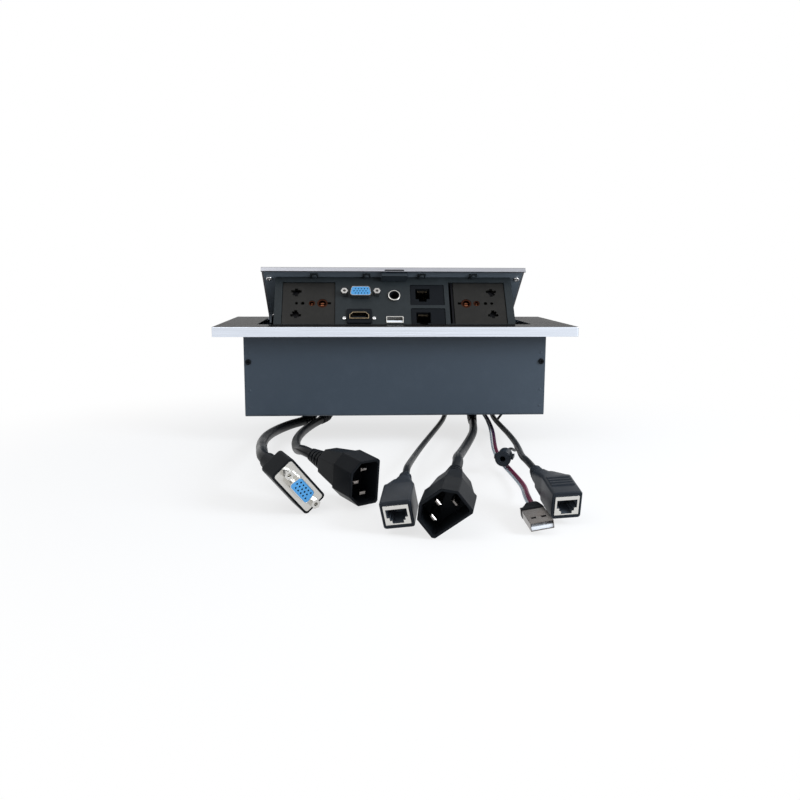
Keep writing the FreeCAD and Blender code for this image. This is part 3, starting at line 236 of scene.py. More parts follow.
def brushed_finish(name, side, top, rough, streak, relief=0.12, edge=0.0004, sheen=0.85, glance=0.06):
    """Belt-brushed sheet: one tone on the faces that look up, another on its edges. Its sheen
    falls to a glance where it is seen at a very flat angle."""
    tree, shader = start_finish(name)
    brush = group_in(tree, "brush")
    normal = put(tree, "NewGeometry").outputs["True Normal"]
    upward = put(tree, "SeparateXYZ", {0: normal}).outputs["Z"]
    base = mix_colour(tree, spread(tree, upward, 0.0, 1.0, start=0.64, end=0.76), side, top)
    base = mix_colour(tree, spread(tree, brush["Streaks"], 0.0, 1.0), darkened(tree, base, 1.0 - streak),
                      base)
    facing = put(tree, "LayerWeight").outputs["Facing"]
    feed(tree, shader, {
        "Base Color": base, "Metallic": 1.0,
        "Roughness": spread(tree, brush["Bands"], rough - 0.03, rough + 0.04),
        "Specular Tint": spread(tree, facing, sheen, glance, start=0.7, end=0.86),
        "Normal": soft_edge(tree, brush["Streaks"], edge, relief)})


def banded_jacket(name, low, high):
    """A jacket that turns from one colour to another between the box and the plug."""
    tree, shader = start_finish(name)
    grain = group_in(tree, "grain")
    back = put(tree, "SeparateXYZ", {0: object_place(tree)}).outputs["Y"]
    base = mix_colour(tree, spread(tree, back, 0.0, 1.0, start=-0.085, end=-0.02), low, high)
    base = mix_colour(tree, grain["Speckle"], darkened(tree, base, 0.6), base)
    feed(tree, shader, {"Base Color": base, "Roughness": spread(tree, grain["Drift"], 0.36, 0.5),
                        "Specular IOR Level": 0.35})


def plated_finish(name, colour, tarnish, rough, amount, size=420.0, edge=0.0002, relief=0.03):
    """Bright plated metal with a little tarnish in patches."""
    tree, shader = start_finish(name)
    grain = group_in(tree, "grain", Size=size)
    base = mix_colour(tree, group_in(tree, "dust", Amount=amount)["Mask"], colour, tarnish)
    feed(tree, shader, {
        "Base Color": base, "Metallic": 1.0,
        "Roughness": spread(tree, grain["Speckle"], rough - 0.03, rough + 0.06),
        "Normal": soft_edge(tree, grain["Height"], edge, relief)})


def make_finishes(sizes):
    sprayed_finish("housing paint", sizes.housing_colour, 0.42, size=2600.0, lift=1.12,
                   relief=0.06, edge=0.0006, dust=0.06, dust_colour=(0.16, 0.19, 0.22), spec=0.3)
    sprayed_finish("liner paint", sizes.liner_colour, 0.38, size=2400.0, lift=1.12, relief=0.08,
                   dust=0.08, dust_colour=(0.25, 0.28, 0.32), spec=0.4)
    sprayed_finish("panel paint", (0.013, 0.017, 0.019), 0.5, size=1900.0, lift=1.5, relief=0.25,
                   dust_colour=(0.06, 0.07, 0.08), spec=0.2)
    sprayed_finish("socket brown", (0.010, 0.0095, 0.0085), 0.42, size=1500.0, dust=0.15,
                   dust_colour=(0.05, 0.046, 0.04), spec=0.2)
    sprayed_finish("black moulding", (0.008, 0.0092, 0.011), 0.33, lift=1.4, relief=0.12, edge=0.0009,
                   dust_colour=(0.02, 0.024, 0.028), spec=0.04)
    sprayed_finish("deep black", (0.002, 0.002, 0.003), 0.5, lift=1.4, dust_colour=(0.01, 0.01, 0.012),
                   spec=0.12)
    # A bluish grey far paler than the plug's plastic: painted light inside the network ports
    sprayed_finish("port lining with painted light", (0.062, 0.074, 0.090), 0.5, dust_colour=(0.09, 0.10, 0.11), spec=0.2)
    sprayed_finish("grey moulding", (0.008, 0.012, 0.018), 0.38, relief=0.15, edge=0.0007, dust=0.12,
                   dust_colour=(0.05, 0.06, 0.078), spec=0.19)
    # A darker copy of the liner's slate: painted shade on the latch body and the panel fixings under the
    # flap's lip
    sprayed_finish("slate in painted shade", (0.023, 0.030, 0.036), 0.42, size=2400.0, lift=1.12, relief=0.06,
                   dust=0.05, dust_colour=(0.12, 0.14, 0.16), spec=0.22)
    sprayed_finish("cord jacket", (0.0045, 0.0055, 0.007), 0.34, size=1300.0, lift=1.4, edge=0.0,
                   dust=0.12, dust_colour=(0.022, 0.026, 0.032), spec=0.08)
    banded_jacket("red jacket", (0.16, 0.010, 0.052), (0.042, 0.026, 0.115))
    sprayed_finish("pale jacket", (0.36, 0.43, 0.48), 0.3, size=1300.0, lift=1.2, edge=0.0,
                   dust_colour=(0.2, 0.2, 0.2))
    sprayed_finish("blue insert", sizes.display_blue, 0.45, size=1800.0, lift=1.1, relief=0.05,
                   edge=0.0001, dust=0.05, dust_colour=(0.4, 0.6, 0.8), spec=0.3)
    sprayed_finish("white insert", (0.75, 0.77, 0.80), 0.35, size=1800.0, lift=1.08, relief=0.05,
                   edge=0.0001, dust_colour=(0.4, 0.4, 0.4))
    sprayed_finish("pad rubber", (0.02, 0.02, 0.02), 0.7, size=900.0, lift=1.4, relief=0.3, dust=0.15)
    brushed_finish("frame metal", (0.79, 0.845, 0.94), sizes.frame_top, 0.24, 0.2)
    brushed_finish("flap metal", (0.49, 0.50, 0.545), sizes.frame_top, 0.3, 0.3)
    plated_finish("plated steel", (0.66, 0.65, 0.62), (0.52, 0.50, 0.46), 0.24, amount=0.15)
    plated_finish("bright screw", (0.80, 0.80, 0.81), (0.4, 0.4, 0.42), 0.22, amount=0.2)
    # Dark nickel: where it dresses the mains pins it is painted shade
    plated_finish("dark nickel", (0.19, 0.175, 0.165), (0.14, 0.10, 0.08), 0.18, amount=0.6)
    plated_finish("satin steel", (0.46, 0.45, 0.44), (0.22, 0.21, 0.20), 0.22, amount=0.5)
    plated_finish("copper contact", (0.036, 0.013, 0.008), (0.018, 0.009, 0.006), 0.4, amount=0.8)
    # Brighter copper for the raised middles of the earth springs: a painted highlight
    plated_finish("painted copper highlight", (0.19, 0.07, 0.036), (0.10, 0.038, 0.02), 0.35, amount=0.5)
    plated_finish("dull gold", (0.16, 0.13, 0.09), (0.06, 0.05, 0.04), 0.35, amount=0.6)
    plated_finish("gold rim", (0.34, 0.27, 0.18), (0.16, 0.12, 0.07), 0.3, amount=0.5)


FINISH_NODES = {
    "frame metal": ["top_frame"],
    "flap metal": ["lid_cover"],
    "housing paint": ["housing_shell", "end_plate_left", "end_plate_right"],
    "liner paint": ["lid_liner"],
    "panel paint": ["socket_panel", "carriage_tray"],
    # Painted shade: the latch body and the panel fixings in a darker copy of the liner's slate
    "slate in painted shade": ["panel_rivets", "latch_body"],
    "black moulding": [
        "shell_screws", "hdmi_body", "jack_body", "lan_jack_upper", "lan_jack_lower", "cord_glands",
        "vga_plug_hood", "mains_plug_left", "mains_plug_right", "usb_plug_body"],
    "deep black": ["latch_tongue", "socket_bases", "socket_shutter_left", "socket_shutter_right"],
    "grey moulding": ["hinge_bushes", "lan_plug_left", "lan_plug_right", "sound_plug"],
    "socket brown": ["socket_faces"],
    "pad rubber": ["stop_pads"],
    "blue insert": ["vga_insert", "vga_plug_insert"],
    "white insert": ["usb_tongue", "usb_plug_tongue"],
    "bright screw": ["frame_screws", "hinge_pins", "lid_springs", "lid_screws", "hdmi_screws"],
    "plated steel": ["jack_nut", "usb_shell", "vga_plug_shell", "vga_plug_nuts", "lan_plug_shells"],
    "satin steel": ["vga_shell", "vga_nuts"],
    # On the mains pins the dark nickel is painted shade: they sit deep in the plugs' hollows
    "dark nickel": ["mains_pins", "usb_plug_shell"],
    "copper contact": ["socket_contacts"],
    "gold rim": ["hdmi_shell"],
    "dull gold": ["lan_contacts"],
}


def dress(node, finish):
    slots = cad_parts[node].data.materials
    slots.clear()
    slots.append(finishes[finish])


# Places of the plugs and of the leads, in millimetres
def placed(axes, spot):
    """A place with the three axes given and its origin at the spot."""
    grid = Matrix(axes).transposed().to_4x4()
    grid.translation = Vector(spot)
    return grid


def plug_matrix(pose):
    """A plug's own place: Z out of its face, X and Y along it."""
    centre, turn, tip, roll, length = pose
    a, b, c = (math.radians(v) for v in (turn, tip, roll))
    n = Vector((math.sin(a) * math.cos(b), -math.cos(a) * math.cos(b), -math.sin(b)))
    u0 = Vector((math.cos(a), math.sin(a), 0.0))
    v0 = n.cross(u0)
    u = u0 * math.cos(c) + v0 * math.sin(c)
    v = v0 * math.cos(c) - u0 * math.sin(c)
    return placed((u, v, n), centre)


# Each plug's centre, its turn, tip and roll in degrees, and its length
VGA_PLUG = ((-61.6, -226.0, -67.3), 29.0, 8.0, -49.0, 42.0)
MAINS_PLUG_LEFT = ((-26.2, -216.5, -68.3), 34.0, 6.0, 90.0, 55.0)
MAINS_PLUG_RIGHT = ((10.5, -271.0, -68.2), -14.0, 7.0, 38.0, 55.0)
LAN_PLUG_LEFT = ((-11.0, -263.5, -72.0), -10.0, 14.0, 9.0, 40.0)
LAN_PLUG_RIGHT = ((77.7, -250.5, -72.3), 5.0, 14.0, 2.0, 40.0)
USB_PLUG = ((61.7, -265.0, -78.2), 2.0, 4.0, 9.0, 28.0)
SOUND_PLUG = ((63.0, -149.0, -71.5), -20.0, 4.0, 0.0, 15.0)


def plug_back(pose, along=0.0, side=0.0):
    """A point behind the plug, on its own line or to the side of it."""
    return tuple(plug_matrix(pose) @ Vector((side, 0.0, -pose[4] - along)))


# The points that each lead's line is drawn from, from its gland to its plug
ROUTES = {
    "vga_cord": [
        (-66, 25, -64.2), (-66, 25, -69), (-66.8, 22.7, -73.2), (-68.6, 18.4, -75.4), (-74, 9, -75.5),
        (-83, -8, -75), (-91.5, -30, -75), (-95.5, -53, -74), (-96.4, -77, -72.6), (-95, -101, -70.4),
        (-92.8, -124, -67.6), (-90, -146, -64.6), (-87.6, -166.7, -61.8),
        plug_back(VGA_PLUG, 7), plug_back(VGA_PLUG)],
    "mains_cord_left": [
        (-52, 27, -64.2), (-52, 27, -68.4), (-52.9, 25.1, -72), (-54.5, 21.8, -74.2), (-58, 14.3, -75),
        (-64, -1.5, -75.5), (-70, -27, -75.5), (-73.2, -52, -75.2), (-73.6, -76, -74.2),
        (-72, -99, -72.3), (-69.8, -121, -69.6), (-67.2, -142, -66),
        plug_back(MAINS_PLUG_LEFT, 12), plug_back(MAINS_PLUG_LEFT)],
    "mains_cord_right": [
        (67, 16, -64.2), (67, 16, -68.4), (66.9, 13.9, -72), (66.6, 10.3, -74.1), (65.8, 2, -75),
        (64.2, -14, -75.5), (60.4, -40, -75.7), (54, -66, -75.7), (46.8, -94, -75), (40.4, -122, -72.6),
        (35, -149, -68.8), (30.5, -174, -64.5),
        plug_back(MAINS_PLUG_RIGHT, 14), plug_back(MAINS_PLUG_RIGHT)],
    "lan_cord_left": [
        (46, 26, -64.2), (46, 26, -67.2), (45.7, 24.6, -69.9), (45.3, 22.2, -71.5), (44.4, 16.4, -72.5),
        (41.8, 5, -74), (35.4, -17, -75.5), (25, -53, -76.5), (15, -93, -76), (7.4, -132, -73.4),
        (2.2, -167, -69), (-0.9, -193, -64.8), (-2.8, -210.9, -62), plug_back(LAN_PLUG_LEFT)],
    "lan_cord_right": [
        (84, 17, -64.2), (84, 17, -67.2), (84, 15.5, -69.8), (83.9, 12.9, -71.3), (83.6, 7, -72.2),
        (83.4, -5, -72.8), (83.4, -28, -73), (83.3, -60, -72.7), (81.6, -96, -71.8), (77.4, -130, -69.4),
        (72, -165, -66.3), (68.8, -194, -61.8), plug_back(LAN_PLUG_RIGHT, 0, -5)],
    "usb_cord_red": [
        (76.3, 27, -64.2), (76.3, 27, -66.3), (76.4, 26, -68.2), (76.7, 24.3, -69.4), (77.3, 20.1, -70.6),
        (78.4, 11.7, -72.4), (79, -5, -75), (77, -34, -77), (72.6, -64, -78.2), (68.4, -96, -78.8),
        (67.8, -128, -79), (69, -159, -79), (68.9, -190, -78.2),
        plug_back(USB_PLUG, 14, 3), plug_back(USB_PLUG, 0, 2.4)],
    "usb_cord_white": [
        (73.7, 27, -64.2), (73.7, 27, -66), (73.8, 26.2, -67.6), (74, 24.7, -68.5), (74.4, 21.2, -69.2),
        (75.4, 14, -70.4), (76.7, -2, -73.3), (74.9, -32, -76.3), (70.4, -63, -78), (66.2, -96, -79.1),
        (65.6, -128, -79.5), (66.8, -160, -79.4), (66.7, -191, -78.6),
        plug_back(USB_PLUG, 14, 0.9), plug_back(USB_PLUG, 0, 0.2)],
    "sound_cord": [
        (93, 8, -64.2), (93, 8, -66), (92.4, 8.2, -68.6), (90.3, 8.6, -71.8), (87.4, 7.6, -75),
        (86.6, 2.4, -77.2), (87.2, -7, -78.3), (88, -20, -78.6), (88.2, -38, -78.6), (87.2, -62, -78.8),
        (84.6, -86, -78.2), (80, -107, -76), plug_back(SOUND_PLUG, 12), plug_back(SOUND_PLUG)],
}
# Each lead's diameter and real length, its finish and stiffness, and the CAD pieces on its end
LEADS = {
    "vga_cord": (7.3, 229.0, "cord jacket", "stiff",
                 ["vga_plug_hood", "vga_plug_shell", "vga_plug_insert", "vga_plug_nuts"]),
    "mains_cord_left": (6.3, 212.8, "cord jacket", "medium", ["mains_plug_left", "mains_pins"]),
    "mains_cord_right": (6.3, 246.1, "cord jacket", "medium", ["mains_plug_right", "mains_pins"]),
    "lan_cord_left": (4.0, 263.9, "cord jacket", "medium", []),
    "lan_cord_right": (4.0, 236.4, "cord jacket", "medium", []),
    "usb_cord_red": (2.6, 268.8, "red jacket", "limp", ["usb_plug_shell", "usb_plug_tongue"]),
    "usb_cord_white": (1.4, 268.4, "pale jacket", "limp", []),
    "sound_cord": (2.0, 151.4, "cord jacket", "limp", ["sound_plug"]),
}
# Filled by the operators below: the leads, and the pieces made here that sit on each
laid = {}
made_ends = {name: [] for name in LEADS}


# Pieces made here: meshes in metres at the object's own place, and what their shapes are made of
def new_piece(name, build, body, *labels):
    """Makes a piece of what build puts in a mesh, with its finishes, and lets it ride on a body."""
    grid = bmesh.new()
    build(grid)
    bmesh.ops.recalc_face_normals(grid, faces=grid.faces)
    mesh = bpy.data.meshes.new(name)
    grid.to_mesh(mesh)
    grid.free()
    for label in labels:
        mesh.materials.append(finishes[label])
    piece = new_object(name, mesh)
    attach(piece, body)
    return piece


def loop_at(grid, matrix, points, level):
    return [grid.verts.new(matrix @ (Vector((x, y, level)) * MM)) for x, y in points]


def wall_between(grid, first, second, slot=0):
    count = len(first)
    for k in range(count):
        face = grid.faces.new((first[k], first[(k + 1) % count], second[(k + 1) % count], second[k]))
        face.material_index = slot


def prism_in(grid, matrix, points, low, high, slot=0):
    floor, roof = loop_at(grid, matrix, points, low), loop_at(grid, matrix, points, high)
    wall_between(grid, floor, roof, slot)
    grid.faces.new(floor).material_index = slot
    grid.faces.new(roof).material_index = slot


def round_points(radius, count, x=0.0, y=0.0):
    turns = [2 * math.pi * k / count for k in range(count)]
    return [(x + radius * math.cos(a), y + radius * math.sin(a)) for a in turns]


def rounded_points(length, height, radius, shift=0.0, steps=4):
    """A rectangle with round corners, its points in step with any other made here."""
    points = []
    for x, y, start in ((1, 1, 0), (-1, 1, 90), (-1, -1, 180), (1, -1, 270)):
        for k in range(steps + 1):
            turn = math.radians(start + 90.0 * k / steps)
            points.append((shift + x * (length / 2 - radius) + radius * math.cos(turn),
                           y * (height / 2 - radius) + radius * math.sin(turn)))
    return points


def loft_in(grid, matrix, sections):
    """A skin through loops of (level, points); returns the first and the last loop."""
    loops = [loop_at(grid, matrix, points, level) for level, points in sections]
    for low, high in zip(loops, loops[1:]):
        wall_between(grid, low, high)
    return loops[0], loops[-1]


def smooth_sides(piece, angle=32.0):
    for face in piece.data.polygons:
        face.use_smooth = True
    sharp = piece.modifiers.new("sharp", "EDGE_SPLIT")
    sharp.split_angle = math.radians(angle)


def soften(piece, width):
    edge = piece.modifiers.new("edge", "BEVEL")
    edge.width = width * MM
    edge.segments = 2
    edge.limit_method = "ANGLE"
    edge.angle_limit = math.radians(35.0)
    smooth_sides(piece, 40.0)


def metres(matrix):
    """The same place with its origin in metres, for points given in millimetres."""
    scaled = matrix.copy()
    scaled.translation = matrix.translation * MM
    return scaled


# The hinge's line, the open flap's slope in degrees, and how far along it the panel's face is
HINGE_Y, HINGE_Z = 37.206, -3.0
PANEL_SLOPE, PANEL_REACH = 37.0, 64.598


def panel_matrix(x, p):
    """A place on the socket panel's face: X right, Y up the panel, Z out of it."""
    slope = math.radians(PANEL_SLOPE)
    run, rise = math.cos(slope), math.sin(slope)
    spot = (x, HINGE_Y - PANEL_REACH * run + p * rise, HINGE_Z + PANEL_REACH * rise + p * run)
    return placed(((1, 0, 0), (0, rise, run), (0, -run, rise)), spot)


def line_along(name):
    """The points that a lead's smooth line goes through, from its gland on."""
    bare = laid[name].data.copy()
    bare.bevel_depth = 0.0
    holder = new_object("bare_line", bare)
    bpy.context.view_layer.update()
    mesh = bpy.data.meshes.new_from_object(holder)
    points = [v.co.copy() for v in mesh.vertices]
    bpy.data.objects.remove(holder)
    bpy.data.meshes.remove(mesh)
    bpy.data.curves.remove(bare)
    return points


def part_of_line(points, start, length, steps):
    """Evenly spaced points and directions on a stretch of a line."""
    travelled = [0.0]
    for before, after in zip(points, points[1:]):
        travelled.append(travelled[-1] + (after - before).length)
    found = []
    for k in range(steps + 1):
        want = start + length * k / steps
        i = max(j for j, t in enumerate(travelled) if t <= want)
        i = min(i, len(points) - 2)
        share = (want - travelled[i]) / max(travelled[i + 1] - travelled[i], 1e-9)
        found.append((points[i].lerp(points[i + 1], share), (points[i + 1] - points[i]).normalized()))
    return found


def tube_in(grid, stations, radii, around=28):
    """A tube of changing radius along a line, closed at both ends."""
    rings, side = [], Vector((1.0, 0.0, 0.0))
    for (spot, way), radius in zip(stations, radii):
        side = (side - way * side.dot(way)).normalized()
        up = way.cross(side)
        rings.append([grid.verts.new(spot + (side * math.cos(a) + up * math.sin(a)) * radius)
                      for a in (2 * math.pi * k / around for k in range(around))])
    for low, high in zip(rings, rings[1:]):
        wall_between(grid, low, high)
    grid.faces.new(rings[0])
    grid.faces.new(rings[-1])


def lay_cord(name, diameter, finish):
    points = [Vector(p) * MM for p in ROUTES[name]]
    curve = bpy.data.curves.new(name + "_line", "CURVE")
    curve.dimensions = "3D"
    spline = curve.splines.new("NURBS")
    spline.points.add(len(points) - 1)
    for knot, point in zip(spline.points, points):
        knot.co = (*point, 1.0)
    spline.order_u = 3
    spline.use_endpoint_u = True
    curve.resolution_u = 12
    curve.bevel_depth = diameter * MM / 2
    curve.bevel_resolution = 6
    curve.use_fill_caps = True
    curve.materials.append(finishes[finish])
    piece = new_object(name + "_lead", curve)
    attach(piece, "housing")
    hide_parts(name)
    laid[name] = piece


# The stage, with the camera's place in millimetres and its angles in degrees
CAMERA_SPOT = (-32.15, -647.86, 47.38)
CAMERA_TURN, CAMERA_TIP, CAMERA_ROLL = 3.347, 9.125, 0.211
FLOOR_REACH = 4.0


def place_camera(lens):
    turn, tip, roll = (math.radians(v) for v in (CAMERA_TURN, CAMERA_TIP, CAMERA_ROLL))
    forward = Vector((math.sin(turn) * math.cos(tip), math.cos(turn) * math.cos(tip), -math.sin(tip)))
    right = Vector((math.cos(turn), -math.sin(turn), 0.0))
    up = right.cross(forward)
    across = right * math.cos(roll) + up * math.sin(roll)
    tall = up * math.cos(roll) - right * math.sin(roll)
    data = bpy.data.cameras.new("photo_camera")
    data.lens = lens
    data.sensor_width = 36.0
    data.clip_start = 0.01
    camera = new_object("photo_camera", data)
    camera.matrix_world = placed((across, tall, -forward), Vector(CAMERA_SPOT) * MM)
    bpy.context.scene.camera = camera


def soft_lamp(name, spot, aim, size, watts, tint=(1.0, 1.0, 1.0)):
    data = bpy.data.lights.new(name, "AREA")
    data.shape = "RECTANGLE"
    data.size = data.size_y = size
    data.energy = watts
    data.color = tint
    lamp = new_object(name, data)
    lamp.location = spot
    lamp.rotation_euler = (Vector(aim) - Vector(spot)).to_track_quat("-Z", "Y").to_euler()


def seen_share(tree):
    """1 for what the camera, a reflection or clear plastic shows, 0 for what only gives light."""
    path = put(tree, "LightPath").outputs
    seen = maths(tree, "MAXIMUM", path["Is Camera Ray"], path["Is Glossy Ray"])
    return maths(tree, "MAXIMUM", seen, path["Is Transmission Ray"])


def make_floor(sizes):
    """A pale sheet that keeps the shadow under the object and turns to white paper further out."""
    level = sizes.floor_level * MM
    corners = [(x * FLOOR_REACH, y * FLOOR_REACH, level) for x, y in ((-1, -1), (1, -1), (1, 1), (-1, 1))]
    mesh = bpy.data.meshes.new("floor_sheet")
    mesh.from_pydata(corners, [], [(0, 1, 2, 3)])
    floor = new_object("floor", mesh)
    tree, shader = start_finish("studio floor")
    feed(tree, shader, {"Base Color": (0.92, 0.92, 0.925, 1.0), "Roughness": 0.9,
                        "Specular IOR Level": 0.1})
    centre = put(tree, "Mapping", {0: object_place(tree), "Location": (0.0, 0.34, 0.0),
                                   "Scale": (3.0, 3.4, 0.0)})
    away = put(tree, "VectorMath", {0: centre.outputs[0]}, operation="LENGTH").outputs["Value"]
    fade = put(tree, "MapRange", {"Value": away, "From Min": 0.5, "From Max": 1.3,
                                  "To Min": sizes.paper_lift}, interpolation_type="SMOOTHSTEP")
    share = maths(tree, "MULTIPLY", seen_share(tree), fade.outputs[0])
    paper = put(tree, "Emission")
    blend = put(tree, "MixShader", {0: share, 1: shader.outputs[0], 2: paper.outputs[0]})
    feed(tree, tree.nodes["Material Output"], {0: blend.outputs[0]})
    mesh.materials.append(finishes["studio floor"])


def make_world(air_light):
    """Even light from all round, with a white background."""
    world = bpy.data.worlds.new("studio")
    bpy.context.scene.world = world
    world.use_nodes = True
    tree = world.node_tree
    tree.nodes.clear()
    air = put(tree, "Background", {"Color": (0.93, 0.96, 1.0, 1.0), "Strength": air_light})
    white = put(tree, "Background", {"Color": (1.0, 1.0, 1.0, 1.0)})
    blend = put(tree, "MixShader", {0: seen_share(tree), 1: air.outputs[0], 2: white.outputs[0]})
    put(tree, "OutputWorld", {0: blend.outputs[0]})


def make_stage(sizes):
    bpy.context.scene.view_settings.view_transform = "Standard"
    place_camera(sizes.lens)
    make_floor(sizes)
    make_world(sizes.air_light)
    soft_lamp("key_lamp", (-0.9, -1.0, 1.7), (0.0, -0.1, 0.0), 1.5, sizes.key_light)
    soft_lamp("fill_lamp", (0.85, -0.7, 0.4), (0.08, 0.0, 0.0), 0.5, sizes.fill_light, (0.85, 0.92, 1.0))


# Sizes and colours that a user would change
class StageSizes(bpy.types.PropertyGroup):
    lens: FloatProperty(name="Lens", description="Focal length on a 36 mm sensor", default=36.28)
    floor_level: FloatProperty(name="Floor level", description="Floor under the leads, in mm",
                               default=cad_box[0][2] / MM - 0.05)
    paper_lift: FloatProperty(name="Paper lift", description="How far the floor's shadow is held back",
                              default=0.72, subtype="FACTOR")
    air_light: FloatProperty(name="Air light", description="Strength of the even light", default=0.55)
    key_light: FloatProperty(name="Key light", description="Power of the main lamp", default=10.0,
                             unit="POWER")
    fill_light: FloatProperty(name="Fill light", description="Power of the fill lamp", default=12.0,
                              unit="POWER")


class FinishSizes(bpy.types.PropertyGroup):
    housing_colour: FloatVectorProperty(name="Housing", description="Paint of the box under the desk",
                                        subtype="COLOR", default=(0.034, 0.048, 0.065))
    liner_colour: FloatVectorProperty(name="Liner", description="Paint of the flap's inner sheet",
                                      subtype="COLOR", default=(0.12, 0.145, 0.17))
    frame_top: FloatVectorProperty(name="Frame top", description="Brushed faces that look up",
                                   subtype="COLOR", default=(0.185, 0.177, 0.175))
    display_blue: FloatVectorProperty(name="Display blue", description="Insert of the display sockets",
                                      subtype="COLOR", default=(0.068, 0.275, 0.55))


class SOCKETBOX_OT_stage(bpy.types.Operator):
    """Puts in the floor, the lamps and the camera"""
    bl_idname = "socketbox.stage"
    bl_label = "Stage"

    def execute(self, context):
        make_stage(context.scene.socketbox_stage)
        return {"FINISHED"}


class SOCKETBOX_OT_finishes(bpy.types.Operator):
    """Makes every finish and puts it on the fixed pieces"""
    bl_idname = "socketbox.finishes"
    bl_label = "Finishes"

    def execute(self, context):
        make_finishes(context.scene.socketbox_finish)
        for finish, nodes in FINISH_NODES.items():
            for node in nodes:
                dress(node, finish)
        return {"FINISHED"}


class SOCKETBOX_OT_leads(bpy.types.Operator):
    """Lays the leads that hang out of the box"""
    bl_idname = "socketbox.leads"
    bl_label = "Leads"

    def execute(self, context):
        for name, (diameter, length, finish, stiffness, ends) in LEADS.items():
            lay_cord(name, diameter, finish)
        return {"FINISHED"}


class SleeveSizes(bpy.types.PropertyGroup):
    length: FloatProperty(name="Length", description="Strain relief along the lead, in mm", default=24.0)
    root: FloatProperty(name="Root", description="Extra radius at the gland, in mm", default=1.25)
    tip: FloatProperty(name="Tip", description="Extra radius at its free end, in mm", default=0.35)
    rings: IntProperty(name="Rings", description="Grooves round the sleeve", default=6)


# Steps along one ring of a sleeve, those of them that lie in its groove, and the groove's depth
RING_STEPS = 8
GROOVE_STEPS = (3, 4, 5)
GROOVE_DEPTH = 0.35


class SOCKETBOX_OT_sleeves(bpy.types.Operator):
    """Puts a tapered, grooved strain relief on each thick lead where it leaves the box"""
    bl_idname = "socketbox.sleeves"
    bl_label = "Strain reliefs"

    def execute(self, context):
        sizes = context.scene.socketbox_sleeve
        for name in ("vga_cord", "mains_cord_left", "mains_cord_right"):
            radius = LEADS[name][0] / 2
            steps = sizes.rings * RING_STEPS
            stations = part_of_line(line_along(name), 0.2 * MM, sizes.length * MM, steps)
            radii = []
            for k in range(steps + 1):
                share = k / steps
                thick = radius + sizes.root * (1 - share) + sizes.tip * share
                groove = GROOVE_DEPTH if 3 < k < steps - 3 and k % RING_STEPS in GROOVE_STEPS else 0.0
                radii.append((thick - groove) * MM)
            piece = new_piece(name + "_sleeve", lambda grid: tube_in(grid, stations, radii), "housing",
                              "black moulding")
            for face in piece.data.polygons:
                face.use_smooth = len(face.vertices) == 4
            made_ends[name].append(piece)
        return {"FINISHED"}


class NetworkPlugSizes(bpy.types.PropertyGroup):
    face_length: FloatProperty(name="Face length", description="Metal face, in mm", default=12.9)
    face_height: FloatProperty(name="Face height", description="Metal face, in mm", default=10.7)
    shell_length: FloatProperty(name="Shell length", description="Shell's room, in mm", default=14.0)
    shell_height: FloatProperty(name="Shell height", description="Shell's room, in mm", default=13.4)
    face_proud: FloatProperty(name="Face proud", description="Face stands out by, in mm", default=0.3)
    port_depth: FloatProperty(name="Port depth", description="Depth of the port, in mm", default=11.0)
    wires: IntProperty(name="Wires", description="Gold contacts in a port", default=8)


FACE_FINISHES = ["plated steel", "port lining with painted light", "gold rim", "grey moulding"]
PORT_OUTLINE = [(-5.4, 3.3), (-5.4, -1.4), (-4.0, -1.4), (-4.0, -3.1), (-2.9, -3.1), (-2.9, -4.7),
                (2.9, -4.7), (2.9, -3.1), (4.0, -3.1), (4.0, -1.4), (5.4, -1.4), (5.4, 3.3)]


def rim_points(length, height):
    """Points on a rectangle that face the corners of the port's outline one by one."""
    x, y = length / 2, height / 2
    return [(-x, y), (-x, -1.4), (-x, -2.2), (-x, -3.1), (-x, -y), (-2.9, -y), (2.9, -y), (x, -y),
            (x, -3.1), (x, -2.2), (x, -1.4), (x, y)]


def face_with_port(grid, matrix, sizes):
    """A metal face with a stepped opening in its moulded rim, the port behind it and its wires."""
    metal, lining, gold, moulded = range(len(FACE_FINISHES))
    face = rim_points(sizes.face_length, sizes.face_height)
    shell = rim_points(sizes.shell_length, sizes.shell_height)
    top, lip_depth, wire_pitch = sizes.face_proud, 0.5, 1.02
    rim, hole, foot = (loop_at(grid, matrix, points, level)
                       for points, level in ((face, top), (PORT_OUTLINE, top), (face, -0.4)))
    wall_between(grid, rim, hole, metal)
    wall_between(grid, rim, foot, metal)
    sill, edge, skirt = (loop_at(grid, matrix, points, level)
                         for points, level in ((face, -0.1), (shell, -0.1), (shell, -1.5)))
    wall_between(grid, edge, sill, moulded)
    wall_between(grid, edge, skirt, moulded)
    wall_between(grid, hole, loop_at(grid, matrix, PORT_OUTLINE, top - lip_depth), metal)
    inner = loop_at(grid, matrix, PORT_OUTLINE, top - lip_depth)
    deep = loop_at(grid, matrix, PORT_OUTLINE, -sizes.port_depth)
    # The port's walls and floor take the pale lining: painted light in the hollow
    wall_between(grid, inner, deep, lining)
    grid.faces.new(deep).material_index = lining
    for k in range(sizes.wires):
        at = (k - (sizes.wires - 1) / 2) * wire_pitch
        strip = [(at - 0.2, 3.1), (at + 0.2, 3.1), (at + 0.2, 2.8), (at - 0.2, 2.8)]
        prism_in(grid, matrix, strip, -8.0, -1.4, gold)


class SOCKETBOX_OT_network_faces(bpy.types.Operator):
    """Makes the metal faces and dark ports of the two network plugs"""
    bl_idname = "socketbox.network_faces"
    bl_label = "Network plug faces"

    def execute(self, context):
        sizes = context.scene.socketbox_network
        for cord, name, pose in (("lan_cord_left", "network_face_left", LAN_PLUG_LEFT),
                                 ("lan_cord_right", "network_face_right", LAN_PLUG_RIGHT)):
            place = metres(plug_matrix(pose))
            piece = new_piece(name, lambda grid: face_with_port(grid, place, sizes), "housing",
                              *FACE_FINISHES)
            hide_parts("lan_plug_shells")
            made_ends[cord].append(piece)
        return {"FINISHED"}


